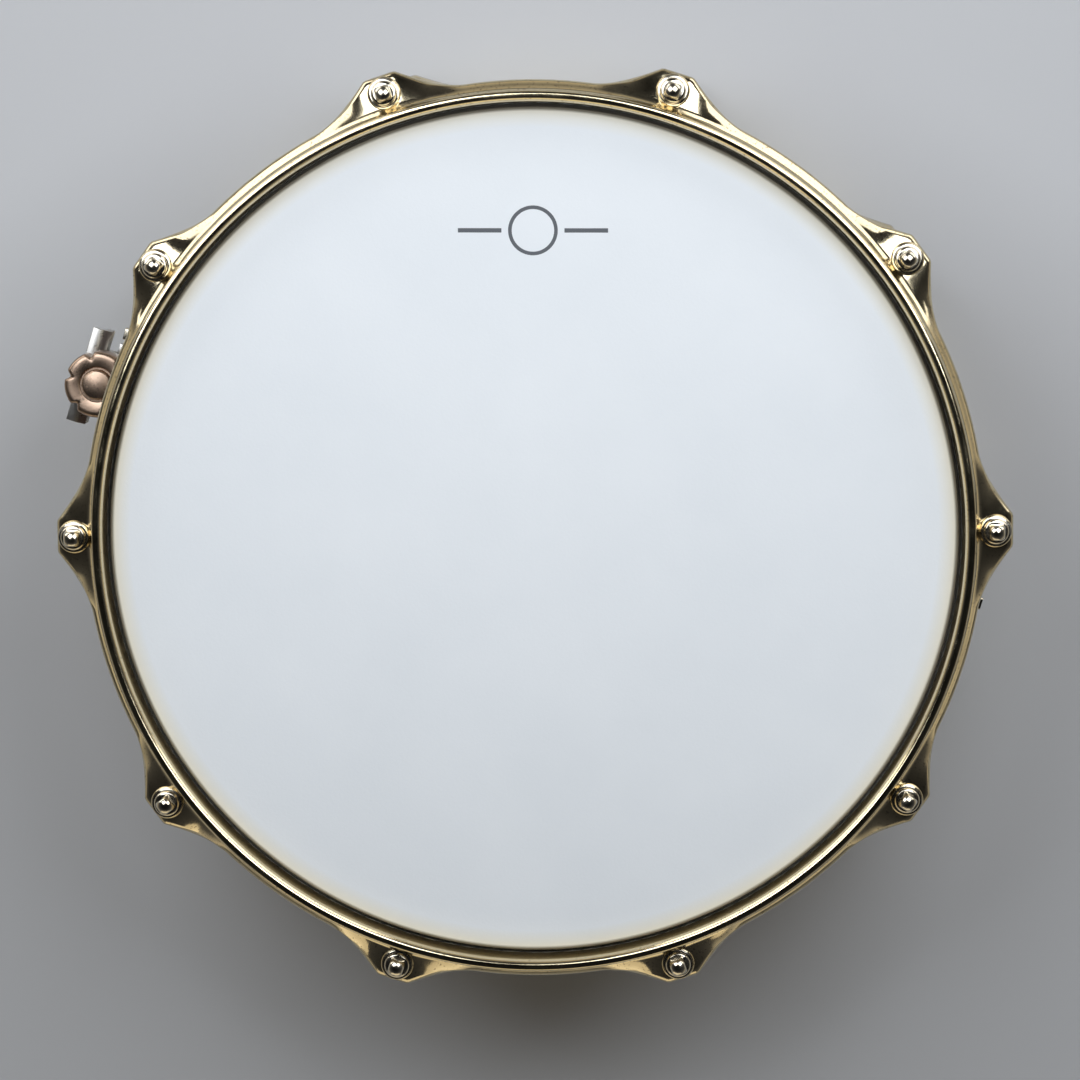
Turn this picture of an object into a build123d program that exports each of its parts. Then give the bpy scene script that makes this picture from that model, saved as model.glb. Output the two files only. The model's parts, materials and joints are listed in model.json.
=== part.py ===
from build123d import *
from math import cos, radians, sin, sqrt, tan
import os

# A 14 by 5.5 inch snare drum with ten double-ended lugs, die-cast hoops, a throw-off
# and a butt plate. The drum's axis is +Z with the batter head up, and the origin is on
# that axis in the plane of the snare-side hoop's rim, on which the drum stands. The
# throw-off is at -X and the butt plate at +X. Sizes are in millimetres.

# Shell
SHELL_R = 176.5
SHELL_WALL = 6.0
SHELL_DEPTH = 139.7
EDGE_ROUNDOVER = 1.5
EDGE_CROWN = 0.5
SNARE_BED_WIDTH = 84.0
SNARE_BED_DEPTH = 1.5

# Heads: a film over the bearing edge, its end held in a flesh hoop
BATTER_FILM = 0.3
SNARE_FILM = 0.2
FILM_GAP = 0.05
COLLAR_DEPTH = 5.6
FLESH_WALL = 4.6
FLESH_HEIGHT = 9.5
FLESH_SIDE_GAP = 0.9

# Hoops
RIM_ABOVE_HEAD = 11.0
RIM_SHELL_GAP = 2.4
RIM_WALL = 4.4
RIM_BEVEL = 0.9
FLANGE_SHELL_GAP = 1.8
FLANGE_BELOW_HEAD = 3.0
SKIRT_DEPTH = 11.0
SKIRT_WALL = 4.1
SHOULDER_DEPTH = 9.5
SHOULDER_FALL = 3.5
FLESH_FIT = 0.4
GATE_SIDE_GAP = 3.0
GATE_BRIDGE = 3.5
GATE_HEIGHT = 9.0

# Ears for the tension rods
ROD_COUNT = 10
FIRST_ROD_ANGLE = 18.0
ROD_SKIRT_GAP = 4.1
EAR_REACH = 8.0
EAR_HALF_WIDTH = 6.0
EAR_FAIRING = 27.0
EAR_HOLLOW = 2.4
EAR_DEPTH = 11.0
EAR_THICKNESS = 9.0
EAR_HOLE_R = 3.5

# Tension rods and their washers
ROD_R = 2.75
ROD_POINT = 0.5
ROD_TIP_ALLOWANCE = 1.0
ROD_FLANGE_R = 5.35
ROD_FLANGE = 1.8
ROD_HEAD_R = 4.0
ROD_HEAD = 6.4
ROD_DOME = 1.2
ROD_SQUARE = 6.3
WASHER_R = 6.3
WASHER_BORE_GAP = 0.3
WASHER = 1.2
SEAT_GAP = 0.05
THREAD_GAP = 0.05

# Lugs
GASKET = 0.8
LUG_LENGTH = 70.0
LUG_HALF_WIDTH = 7.8
LUG_WAIST = 11.5
LUG_TURRET = 18.0
LUG_CAP = 3.0
LUG_NOSE = 2.2
LUG_SCREW_PITCH = 26.0
LUG_SCREW_R = 2.1
LUG_SCREW_REACH = 9.0
LUG_SCREW_END_GAP = 1.0
NUT_R = 4.75
NUT_LENGTH = 13.5
NUT_SLEEVE = 1.1
SLEEVE_GAP = 0.1

# Screws that go through the shell from inside
SCREW_HEAD_R = 4.6
SCREW_HEAD = 3.0
SCREW_WASHER_R = 6.2
SCREW_WASHER = 1.0
HOLE_GAP = 0.2
MOUNT_SCREW_R = 2.5

# Vent
VENT_ANGLE = 288.0
VENT_BORE_R = 4.0
VENT_BARREL_R = 6.0
VENT_FLANGE_R = 10.0
VENT_FLANGE = 1.4
VENT_ROLL_R = 8.0

# Snare wires
STRAND_COUNT = 20
STRAND_R = 0.95
STRAND_PITCH = 2.1
STRAND_SHELL_GAP = 20.5
STRAND_HEAD_GAP = 0.1
END_PLATE_LENGTH = 14.0
END_PLATE = 1.0
END_PLATE_MARGIN = 1.5
END_PLATE_LAP = 6.0
STRAP_WIDTH = 28.0
STRAP = 0.4
STRAP_BEND_R = 3.5
STRAP_SKIRT_GAP = 1.6
STRAP_LAP = 9.0
STRAP_INSET = 1.0

# Strap clamps, the same on the throw-off and the butt plate
CLAMP_ABOVE_HOOP = 13.5
CLAMP_HEIGHT = 12.0
CLAMP_PLATE = 3.0
CLAMP_PLATE_INSET = 0.5
CLAMP_SCREW_STRAP_GAP = 4.0
CLAMP_SCREW_MARGIN = 4.0
CLAMP_SCREW_R = 1.95
CLAMP_SCREW_REACH = 5.0
KEY_SQUARE = 5.4
KEY_HEAD = 5.6
KEY_CORNER_R = 3.5
KEY_FLANGE_R = 3.8
KEY_FLANGE = 1.2

# Throw-off casting
BASE_PLATE = 4.2
BASE_HALF_WIDTH = 20.0
BASE_ABOVE_HOOP = 5.0
BASE_CORNER = 6.0
BASE_SCREW_INSET = 6.0
CHEEK_INNER = 12.0
CHEEK = 4.5
CHEEK_SETBACK = 0.6
CHEEK_ABOVE_CLAMP = 5.5
CHEEK_HEIGHT = 24.0
LIP = 2.4
LIP_REACH = 1.6
LIP_HEIGHT = 5.0

# Throw-off mechanism. The carriage's trunnions move straight down a line that lies
# TRUNNION_OFFSET outside the lever's pivot, from as far above it to as far below it.
SLIDE_GAP = 0.3
KNOB_BASE_GAP = 0.9
LEVER_THROW = 80.0
CARRIAGE_DROP = 9.0
PIVOT_ABOVE_CHEEK = 10.0
PIVOT_SCREW_R = 1.9
PIVOT_HEAD_R = 3.6
PIVOT_HEAD = 2.0
TRUNNION_R = 1.8
BRACKET = 2.5
BRACKET_HEIGHT = 10.0
BRACKET_FRONT = 4.0
CARRIAGE_SLAB = 2.2
FLANGE_ABOVE_LEVER = 4.5
FLANGE = 5.0
FLANGE_FRONT = 8.4
FLANGE_HALF_WIDTH = 12.0
STEM_ABOVE_CLAMP = 1.5
STEM_HEIGHT = 20.0
STEM_FRONT = 4.4
ARM_OUTER_GAP = 0.5
ARM = 2.8
ARM_HUB_R = 4.6
ARM_SLOT_SLACK = 0.5
ARM_SLOT_WALL = 2.4
LEVER_PLATE = 3.2
LEVER_PLATE_GAP = 0.8
LEVER_HALF_WIDTH = 21.0
LEVER_ABOVE_PIVOT = 11.0
LEVER_HEIGHT = 11.5
LEVER_TAB = 5.0
LEVER_TAB_HEIGHT = 4.0

# Tension knob and its screw
KNOB_R = 14.2
KNOB_HEIGHT = 13.0
KNOB_LOBES = 6
KNOB_NOTCH_R = 3.0
KNOB_NOTCH_OUT = 1.0
KNOB_EDGE = 1.2
KNOB_BOSS_R = 6.3
KNOB_BOSS = 1.6
KNOB_GROOVE_R = 7.6
KNOB_GROOVE = 1.0
TENSION_SCREW_R = 2.5
TENSION_SCREW_TAIL = 33.0
WAVE_WASHER = 0.6
WAVE_WASHER_R = 6.0
CLIP_R = 4.2
CLIP = 1.0

# Butt plate casting
BUTT_BELOW_CLAMP = 4.5
BUTT_ABOVE_CLAMP = 11.5
BUTT_SCREW_Y = 10.0
BUTT_SCREW_INSET = 6.5

# How far a cutter runs past what it cuts
CUT = 1.0

# Places that follow from the sizes above
SHELL_BOTTOM = RIM_ABOVE_HEAD + SNARE_FILM + FILM_GAP
SHELL_TOP = SHELL_BOTTOM + SHELL_DEPTH
HEIGHT = SHELL_TOP + FILM_GAP + BATTER_FILM + RIM_ABOVE_HEAD
MIDDLE = HEIGHT / 2
SHELL_BORE_R = SHELL_R - SHELL_WALL
BASE_R = SHELL_R + GASKET
RIM_BORE_R = SHELL_R + RIM_SHELL_GAP
HOOP_R = RIM_BORE_R + RIM_WALL
FLANGE_BORE_R = SHELL_R + FLANGE_SHELL_GAP
FLANGE_DEPTH = RIM_ABOVE_HEAD + FLANGE_BELOW_HEAD
HOOP_HEIGHT = FLANGE_DEPTH + SKIRT_DEPTH
FLESH_R = HOOP_R - FLESH_FIT
FLESH_BORE_R = FLESH_R - FLESH_WALL
SKIRT_BORE_R = FLESH_R + FLESH_SIDE_GAP
SKIRT_R = SKIRT_BORE_R + SKIRT_WALL
ROD_CIRCLE_R = SKIRT_R + ROD_SKIRT_GAP
STRAP_IN_R = SKIRT_R + STRAP_SKIRT_GAP
STRAP_OUT_R = STRAP_IN_R + STRAP
STRAND_LENGTH = 2 * (SHELL_R - STRAND_SHELL_GAP)
STRAND_Z = RIM_ABOVE_HEAD - STRAND_HEAD_GAP - STRAND_R
END_PLATE_TOP = STRAND_Z - STRAND_R - SEAT_GAP
STRAP_TOP = END_PLATE_TOP - END_PLATE
END_PLATE_IN = STRAND_LENGTH / 2 - END_PLATE_LAP
END_PLATE_HALF_WIDTH = (STRAND_COUNT - 1) * STRAND_PITCH / 2 + STRAND_R + END_PLATE_MARGIN
GATE_WIDTH = STRAP_WIDTH + 2 * GATE_SIDE_GAP
CLAMP_BOTTOM = HOOP_HEIGHT + CLAMP_ABOVE_HOOP
CLAMP_TOP = CLAMP_BOTTOM + CLAMP_HEIGHT
CLAMP_SCREW_Y = STRAP_WIDTH / 2 + CLAMP_SCREW_STRAP_GAP
CLAMP_HALF_WIDTH = CLAMP_SCREW_Y + CLAMP_SCREW_MARGIN
BUTT_BOTTOM = CLAMP_BOTTOM - BUTT_BELOW_CLAMP
BUTT_TOP = CLAMP_TOP + BUTT_ABOVE_CLAMP
CHEEK_BOTTOM = CLAMP_TOP + CHEEK_ABOVE_CLAMP
CHEEK_TOP = CHEEK_BOTTOM + CHEEK_HEIGHT
PIVOT_Z = CHEEK_BOTTOM + PIVOT_ABOVE_CHEEK
LEVER_BOTTOM = PIVOT_Z + LEVER_ABOVE_PIVOT
LEVER_TOP = LEVER_BOTTOM + LEVER_HEIGHT
FLANGE_BOTTOM = LEVER_TOP + FLANGE_ABOVE_LEVER
BASE_BOTTOM = HOOP_HEIGHT + BASE_ABOVE_HOOP
BASE_TOP = FLANGE_BOTTOM + FLANGE
STEM_BOTTOM = CLAMP_TOP + STEM_ABOVE_CLAMP
STEM_TOP = STEM_BOTTOM + STEM_HEIGHT
KNOB_AXIS_R = BASE_R + BASE_PLATE + KNOB_BASE_GAP + KNOB_R
CHEEK_FRONT_R = KNOB_AXIS_R - CHEEK_SETBACK
TRUNNION_OFFSET = CARRIAGE_DROP / 2 / tan(radians(LEVER_THROW / 2))
PIVOT_R = KNOB_AXIS_R - TRUNNION_OFFSET
TRUNNION_Z = PIVOT_Z + CARRIAGE_DROP / 2
ARM_OUT_Y = CHEEK_INNER - ARM_OUTER_GAP
ARM_IN_Y = ARM_OUT_Y - ARM
BRACKET_OUT_Y = ARM_IN_Y - SLIDE_GAP
BRACKET_IN_Y = BRACKET_OUT_Y - BRACKET
STEM_HALF_WIDTH = BRACKET_IN_Y - SLIDE_GAP
SLAB_BACK_R = BASE_R + BASE_PLATE + SLIDE_GAP
SLAB_FRONT_R = SLAB_BACK_R + CARRIAGE_SLAB
LEVER_BACK_R = KNOB_AXIS_R + TENSION_SCREW_R + LEVER_PLATE_GAP
KNOB_BOTTOM = FLANGE_BOTTOM + FLANGE + WAVE_WASHER
BASE_SCREWS = [(0, BASE_BOTTOM + BASE_SCREW_INSET), (0, BASE_TOP - BASE_SCREW_INSET)]
BUTT_SCREWS = [(y, BUTT_TOP - BUTT_SCREW_INSET) for y in (-BUTT_SCREW_Y, BUTT_SCREW_Y)]
LUG_BOTTOM, LUG_TOP = MIDDLE - LUG_LENGTH / 2, MIDDLE + LUG_LENGTH / 2
LUG_SCREW_Z = [MIDDLE - LUG_SCREW_PITCH / 2, MIDDLE + LUG_SCREW_PITCH / 2]
RING_ANGLES = [FIRST_ROD_ANGLE + 360.0 / ROD_COUNT * i for i in range(ROD_COUNT)]


def flat(points):
    """A face in the XZ plane from (radius, height) points."""
    return make_face(Polyline([(r, 0, z) for r, z in points], close=True))


def turned(points):
    """A solid turned about the drum's axis from (radius, height) points."""
    return revolve(flat(points), Axis.Z)


def block(x0, x1, y0, y1, z0, z1):
    """A rectangular block between two corners."""
    size = Box(x1 - x0, y1 - y0, z1 - z0)
    return Pos((x0 + x1) / 2, (y0 + y1) / 2, (z0 + z1) / 2) * size


def disc(radius, z0, z1, x=0.0, y=0.0):
    """An upright cylinder."""
    return Pos(x, y, (z0 + z1) / 2) * Cylinder(radius, z1 - z0)


def bar(radius, x0, x1, y=0.0, z=0.0):
    """A cylinder that lies along X."""
    return Pos((x0 + x1) / 2, y, z) * Rot(0, 90, 0) * Cylinder(radius, x1 - x0)


def cross_bar(radius, y0, y1, x, z):
    """A cylinder that lies along Y."""
    return Pos(x, (y0 + y1) / 2, z) * Rot(90, 0, 0) * Cylinder(radius, y1 - y0)


def tube(radius, bore, z0, z1, x):
    """An upright cylinder with a bore."""
    return disc(radius, z0, z1, x) - disc(bore, z0 - CUT, z1 + CUT, x)


def around(shape, angles):
    """A copy of a shape at each angle about the drum's axis."""
    return [Rot(0, 0, angle) * shape for angle in angles]


def below(shape, middle=MIDDLE):
    """The same shape at the drum's other end, mirrored at the height given."""
    return mirror(shape, about=Plane.XY.offset(middle))


def at_throw_off(shape):
    """A shape turned from +X to the throw-off's side."""
    return Rot(0, 0, 180) * shape


def joined(shapes):
    """One solid from shapes that run into each other."""
    first, *rest = shapes
    return first.fuse(*rest)


def save(name, shapes):
    """Write one node's solids to its file."""
    solids = [solid for shape in shapes for solid in shape.solids()]
    export_step(Compound(children=solids), f"parts/{name}.step")


def shell():
    """The plied shell with its bearing edges, snare beds and screw holes."""
    crown_out = SHELL_R - EDGE_ROUNDOVER
    crown_in = crown_out - EDGE_CROWN
    fall = crown_in - SHELL_BORE_R
    body = turned(
        [
            (SHELL_BORE_R, SHELL_BOTTOM + fall),
            (crown_in, SHELL_BOTTOM),
            (crown_out, SHELL_BOTTOM),
            (SHELL_R, SHELL_BOTTOM + EDGE_ROUNDOVER),
            (SHELL_R, SHELL_TOP - EDGE_ROUNDOVER),
            (crown_out, SHELL_TOP),
            (crown_in, SHELL_TOP),
            (SHELL_BORE_R, SHELL_TOP - fall),
        ]
    )
    half = SNARE_BED_WIDTH / 2
    bed_r = (half**2 + SNARE_BED_DEPTH**2) / (2 * SNARE_BED_DEPTH)
    bed = bar(bed_r, -SHELL_R - CUT, SHELL_R + CUT, z=SHELL_BOTTOM + SNARE_BED_DEPTH - bed_r)
    wall = (SHELL_BORE_R - 3 * CUT, SHELL_R + CUT)
    holes = [
        hole
        for z in LUG_SCREW_Z
        for hole in around(bar(LUG_SCREW_R + HOLE_GAP, *wall, z=z), RING_ANGLES)
    ]
    mount_r = MOUNT_SCREW_R + HOLE_GAP
    holes += [bar(mount_r, *wall, y, z) for y, z in BUTT_SCREWS]
    holes += [at_throw_off(bar(mount_r, *wall, y, z)) for y, z in BASE_SCREWS]
    holes.append(Rot(0, 0, VENT_ANGLE) * bar(VENT_BARREL_R + HOLE_GAP, *wall, z=MIDDLE))
    return body.cut(bed, *holes)


def head_film(thickness):
    """The batter head's film, from the centre over the bearing edge into its flesh hoop."""
    off = FILM_GAP + thickness / 2
    slip = off * tan(radians(22.5))
    wall_r = SHELL_R + off
    run = FLESH_BORE_R - wall_r
    path = Polyline(
        [
            (0, 0, SHELL_TOP + off),
            (SHELL_R - EDGE_ROUNDOVER + slip, 0, SHELL_TOP + off),
            (wall_r, 0, SHELL_TOP - EDGE_ROUNDOVER + slip),
            (wall_r, 0, SHELL_TOP - COLLAR_DEPTH),
            (FLESH_BORE_R, 0, SHELL_TOP - COLLAR_DEPTH - run),
        ]
    )
    strip = trace(Plane.XZ.to_local_coords(path), line_width=thickness)
    turned_film = revolve(Plane.XZ * strip, Axis.Z)
    return turned_film & turned([(0, 0), (FLESH_BORE_R, 0), (FLESH_BORE_R, HEIGHT), (0, HEIGHT)])


def flesh_hoop():
    """The batter head's flesh hoop, hard under the counterhoop's flange."""
    top = HEIGHT - FLANGE_DEPTH
    return turned(
        [
            (FLESH_BORE_R, top - FLESH_HEIGHT),
            (FLESH_R, top - FLESH_HEIGHT),
            (FLESH_R, top),
            (FLESH_BORE_R, top),
        ]
    )


def hoop():
    """The batter counterhoop, with an ear at each tension rod."""
    top = HEIGHT
    ring = turned(
        [
            (RIM_BORE_R + RIM_BEVEL, top),
            (HOOP_R - RIM_BEVEL, top),
            (HOOP_R, top - RIM_BEVEL),
            (HOOP_R, top - SHOULDER_DEPTH),
            (SKIRT_R, top - SHOULDER_DEPTH - SHOULDER_FALL),
            (SKIRT_R, top - HOOP_HEIGHT),
            (SKIRT_BORE_R, top - HOOP_HEIGHT),
            (SKIRT_BORE_R, top - FLANGE_DEPTH),
            (FLANGE_BORE_R, top - FLANGE_DEPTH),
            (RIM_BORE_R, top - RIM_BEVEL),
        ]
    )
    tip = ROD_CIRCLE_R + EAR_REACH
    root = sqrt(SKIRT_R**2 - EAR_FAIRING**2)
    middle = ((tip + root) / 2 - EAR_HOLLOW, (EAR_HALF_WIDTH + EAR_FAIRING) / 2 - EAR_HOLLOW)
    inner = SKIRT_BORE_R - SKIRT_WALL
    outline = [
        Line((tip, -EAR_HALF_WIDTH), (tip, EAR_HALF_WIDTH)),
        ThreePointArc((tip, EAR_HALF_WIDTH), middle, (root, EAR_FAIRING)),
        Polyline((root, EAR_FAIRING), (inner, EAR_FAIRING), (inner, -EAR_FAIRING), (root, -EAR_FAIRING)),
        ThreePointArc((root, -EAR_FAIRING), (middle[0], -middle[1]), (tip, -EAR_HALF_WIDTH)),
    ]
    low = top - EAR_DEPTH - EAR_THICKNESS
    ear = Pos(0, 0, low) * extrude(make_face(outline), EAR_THICKNESS)
    ear = ear - disc(SKIRT_R - SKIRT_WALL / 2, low - CUT, top)
    ear = ear - disc(EAR_HOLE_R, low - CUT, top, x=ROD_CIRCLE_R)
    return joined([ring, *around(ear, RING_ANGLES)])


def snare_hoop():
    """The snare-side counterhoop, with a gate for the snare strap at each end."""
    reach, half = SKIRT_R + CUT, GATE_WIDTH / 2
    gate = block(-reach, reach, -half, half, GATE_BRIDGE, GATE_BRIDGE + GATE_HEIGHT)
    return below(hoop()) - gate


def rod():
    """A batter-side tension rod, from its domed square head to its tip in the nut."""
    seat = HEIGHT - EAR_DEPTH + WASHER + SEAT_GAP
    neck = seat + ROD_FLANGE
    crown = neck + ROD_HEAD
    tip = LUG_TOP - LUG_CAP - NUT_LENGTH - ROD_TIP_ALLOWANCE
    blank = turned(
        [
            (0, tip),
            (ROD_R - ROD_POINT, tip),
            (ROD_R, tip + ROD_POINT),
            (ROD_R, seat),
            (ROD_FLANGE_R, seat),
            (ROD_FLANGE_R, neck),
            (ROD_HEAD_R, neck),
            (ROD_HEAD_R, crown - ROD_DOME),
            (ROD_HEAD_R - ROD_DOME, crown - ROD_DOME / 4),
            (0, crown),
        ]
    )
    half = ROD_SQUARE / 2
    waste = block(half, ROD_FLANGE_R, -ROD_FLANGE_R, ROD_FLANGE_R, neck, crown)
    blank = blank.cut(*around(waste, (0, 90, 180, 270)))
    return Pos(ROD_CIRCLE_R, 0, 0) * blank


def washer():
    """The washer under a batter rod's head."""
    seat = HEIGHT - EAR_DEPTH
    return tube(WASHER_R, ROD_R + WASHER_BORE_GAP, seat, seat + WASHER, ROD_CIRCLE_R)


def lug_nut_span():
    """The lowest and highest point of the batter-side nut in a lug."""
    top = LUG_TOP - LUG_CAP - SLEEVE_GAP
    return top - NUT_LENGTH, top


def nut():
    """The batter-side nut in a lug."""
    return tube(NUT_R, ROD_R + THREAD_GAP, *lug_nut_span(), ROD_CIRCLE_R)


def nut_sleeve():
    """The nylon sleeve that stops a nut from rattling."""
    bore = NUT_R + SLEEVE_GAP
    return tube(bore + NUT_SLEEVE, bore, *lug_nut_span(), ROD_CIRCLE_R)


def lug():
    """A hollow cast lug: a turret for each nut and a waist between them."""
    low, high = LUG_BOTTOM, LUG_TOP
    tip = ROD_CIRCLE_R + LUG_HALF_WIDTH
    width = LUG_HALF_WIDTH
    column = block(SHELL_R, ROD_CIRCLE_R, -width, width, low, high)
    column = column + disc(width, low, high, x=ROD_CIRCLE_R)
    half = LUG_LENGTH / 2 - LUG_TURRET
    scoop_r = (half**2 + LUG_WAIST**2) / (2 * LUG_WAIST)
    scoop = cross_bar(scoop_r, -width - CUT, width + CUT, tip - LUG_WAIST + scoop_r, MIDDLE)
    past = tip + CUT
    nose = flat([(tip - LUG_NOSE, high), (past, high), (past, high - LUG_NOSE - CUT)])
    nose = extrude(nose, width + CUT, both=True)
    cavity_r = NUT_R + NUT_SLEEVE + 2 * SLEEVE_GAP
    nut_low, nut_high = lug_nut_span()
    nut_low, nut_high = nut_low - 2 * ROD_TIP_ALLOWANCE, nut_high + SLEEVE_GAP
    cavity = disc(cavity_r, nut_low, nut_high, x=ROD_CIRCLE_R)
    cavity = cavity + block(SHELL_BORE_R, ROD_CIRCLE_R, -cavity_r, cavity_r, nut_low, nut_high)
    rod_hole = disc(EAR_HOLE_R, nut_high - CUT, high + CUT, x=ROD_CIRCLE_R)
    screw_hole = bar(LUG_SCREW_R, SHELL_BORE_R, BASE_R + LUG_SCREW_REACH, z=LUG_SCREW_Z[1])
    one_end = [nose, cavity, rod_hole, screw_hole]
    back = disc(BASE_R, low - CUT, high + CUT)
    return column.cut(scoop, back, *one_end, *[below(cutter) for cutter in one_end])


def gasket(half_width, low, high, holes):
    """A gasket that follows the shell, with a hole for each screw (y, z, radius)."""
    sheet = tube(BASE_R, SHELL_R, low, high, 0)
    sheet = sheet & block(SHELL_BORE_R, BASE_R + CUT, -half_width, half_width, low, high)
    return sheet.cut(*[bar(r, SHELL_BORE_R, BASE_R + CUT, y, z) for y, z, r in holes])


def bore_seat(y, radius):
    """How far out a flat disc of a radius, centred at y, reaches inside the shell."""
    return sqrt(SHELL_BORE_R**2 - (abs(y) + radius) ** 2)


def shell_screw(radius, reach, y, z):
    """A screw from inside the shell, with its tip reach past the gasket."""
    seat = bore_seat(y, SCREW_WASHER_R) - SCREW_WASHER
    shank = bar(radius, seat - SCREW_HEAD / 2, BASE_R + reach, y, z)
    return shank + bar(SCREW_HEAD_R, seat - SCREW_HEAD, seat, y, z)


def shell_washer(radius, y, z):
    """The washer under a shell screw's head."""
    seat = bore_seat(y, SCREW_WASHER_R)
    plate = bar(SCREW_WASHER_R, seat - SCREW_WASHER, seat, y, z)
    return plate - bar(radius + HOLE_GAP, seat - SCREW_WASHER - CUT, seat + CUT, y, z)


def vent_grommet():
    """The flanged air vent, rolled over inside the shell."""
    inside = bore_seat(0, VENT_ROLL_R)
    low, high = inside - VENT_FLANGE, SHELL_R + VENT_FLANGE
    barrel = bar(VENT_BARREL_R, low, high, z=MIDDLE)
    flange = bar(VENT_FLANGE_R, SHELL_R, high, z=MIDDLE)
    roll = bar(VENT_ROLL_R, low, inside, z=MIDDLE)
    bore = bar(VENT_BORE_R, low - CUT, high + CUT, z=MIDDLE)
    return Rot(0, 0, VENT_ANGLE) * (joined([barrel, flange, roll]) - bore)


def clamp_seat(back):
    """The block that a snare strap is clamped against, from radius back to the strap."""
    low, half = CLAMP_BOTTOM, CLAMP_HALF_WIDTH
    seat = block(back, STRAP_IN_R, -half, half, low, CLAMP_TOP)
    return seat.cut(*[clamp_hole(side) for side in (-1, 1)])


def clamp_hole(side):
    """The threaded hole for one clamp screw."""
    radius = CLAMP_SCREW_R + THREAD_GAP
    low, high = STRAP_IN_R - CLAMP_SCREW_REACH - THREAD_GAP, STRAP_OUT_R + CLAMP_PLATE + CUT
    return bar(radius, low, high, side * CLAMP_SCREW_Y, CLAMP_BOTTOM + CLAMP_HEIGHT / 2)


def clamp_plate():
    """The plate that holds the strap against its seat."""
    low, high = CLAMP_BOTTOM + CLAMP_PLATE_INSET, CLAMP_TOP - CLAMP_PLATE_INSET
    plate = block(STRAP_OUT_R, STRAP_OUT_R + CLAMP_PLATE, -CLAMP_HALF_WIDTH, CLAMP_HALF_WIDTH, low, high)
    return plate.cut(*[clamp_hole(side) for side in (-1, 1)])


def clamp_screw(side):
    """A drum-key screw of a strap clamp."""
    y, z = side * CLAMP_SCREW_Y, CLAMP_BOTTOM + CLAMP_HEIGHT / 2
    seat = STRAP_OUT_R + CLAMP_PLATE
    top = seat + KEY_FLANGE + KEY_HEAD
    shank = bar(CLAMP_SCREW_R, STRAP_IN_R - CLAMP_SCREW_REACH, seat + KEY_FLANGE, y, z)
    collar = bar(KEY_FLANGE_R, seat, seat + KEY_FLANGE, y, z)
    half = KEY_SQUARE / 2
    head = block(seat, top, y - half, y + half, z - half, z + half) & bar(KEY_CORNER_R, seat, top, y, z)
    return joined([shank, collar, head])


def strap():
    """A snare strap, from under its end plate, out through the gate and up into its clamp."""
    centre = STRAP_TOP - STRAP / 2
    line_r = (STRAP_IN_R + STRAP_OUT_R) / 2
    bend = STRAP_BEND_R
    cos45 = cos(radians(45))
    path = Curve() + [
        Line((END_PLATE_IN + STRAP_INSET, 0, centre), (line_r - bend, 0, centre)),
        ThreePointArc(
            (line_r - bend, 0, centre),
            (line_r - bend + bend * cos45, 0, centre + bend - bend * cos45),
            (line_r, 0, centre + bend),
        ),
        Line((line_r, 0, centre + bend), (line_r, 0, CLAMP_BOTTOM + STRAP_LAP)),
    ]
    strip = trace(Plane.XZ.to_local_coords(path), line_width=STRAP)
    return extrude(Plane.XZ * strip, STRAP_WIDTH / 2, both=True)


def end_plate():
    """The plate that the strands end on."""
    return block(
        END_PLATE_IN,
        END_PLATE_IN + END_PLATE_LENGTH,
        -END_PLATE_HALF_WIDTH,
        END_PLATE_HALF_WIDTH,
        STRAP_TOP,
        END_PLATE_TOP,
    )


def strands():
    """The snare strands, each as the outer shape of its coil."""
    half = STRAND_LENGTH / 2
    first = -(STRAND_COUNT - 1) * STRAND_PITCH / 2
    return [bar(STRAND_R, -half, half, first + STRAND_PITCH * i, STRAND_Z) for i in range(STRAND_COUNT)]


def throw_off_base():
    """The throw-off's casting: a plate on the shell and two cheeks with guide lips."""
    front = BASE_R + BASE_PLATE
    plate = block(SHELL_BORE_R, front, -BASE_HALF_WIDTH, BASE_HALF_WIDTH, BASE_BOTTOM, BASE_TOP)
    plate = fillet(plate.edges().filter_by(Axis.X), BASE_CORNER)
    lip_x = SLAB_FRONT_R + SLIDE_GAP
    outer = CHEEK_INNER + CHEEK
    cheek = block(BASE_R, CHEEK_FRONT_R, CHEEK_INNER, outer, CHEEK_BOTTOM, CHEEK_TOP)
    pivot_hole = cross_bar(PIVOT_SCREW_R + THREAD_GAP, 0, outer + CUT, PIVOT_R, PIVOT_Z)
    cheek = cheek - pivot_hole
    lips = [
        block(lip_x, lip_x + LIP, CHEEK_INNER - LIP_REACH, outer, low, low + LIP_HEIGHT)
        for low in (CHEEK_BOTTOM, CHEEK_TOP - LIP_HEIGHT)
    ]
    side = joined([cheek, *lips])
    casting = joined([plate, side, mirror(side, about=Plane.XZ)])
    holes = [bar(MOUNT_SCREW_R, SHELL_BORE_R, front + CUT, y, z) for y, z in BASE_SCREWS]
    return casting.cut(disc(BASE_R, BASE_BOTTOM - CUT, BASE_TOP + CUT), *holes)


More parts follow.
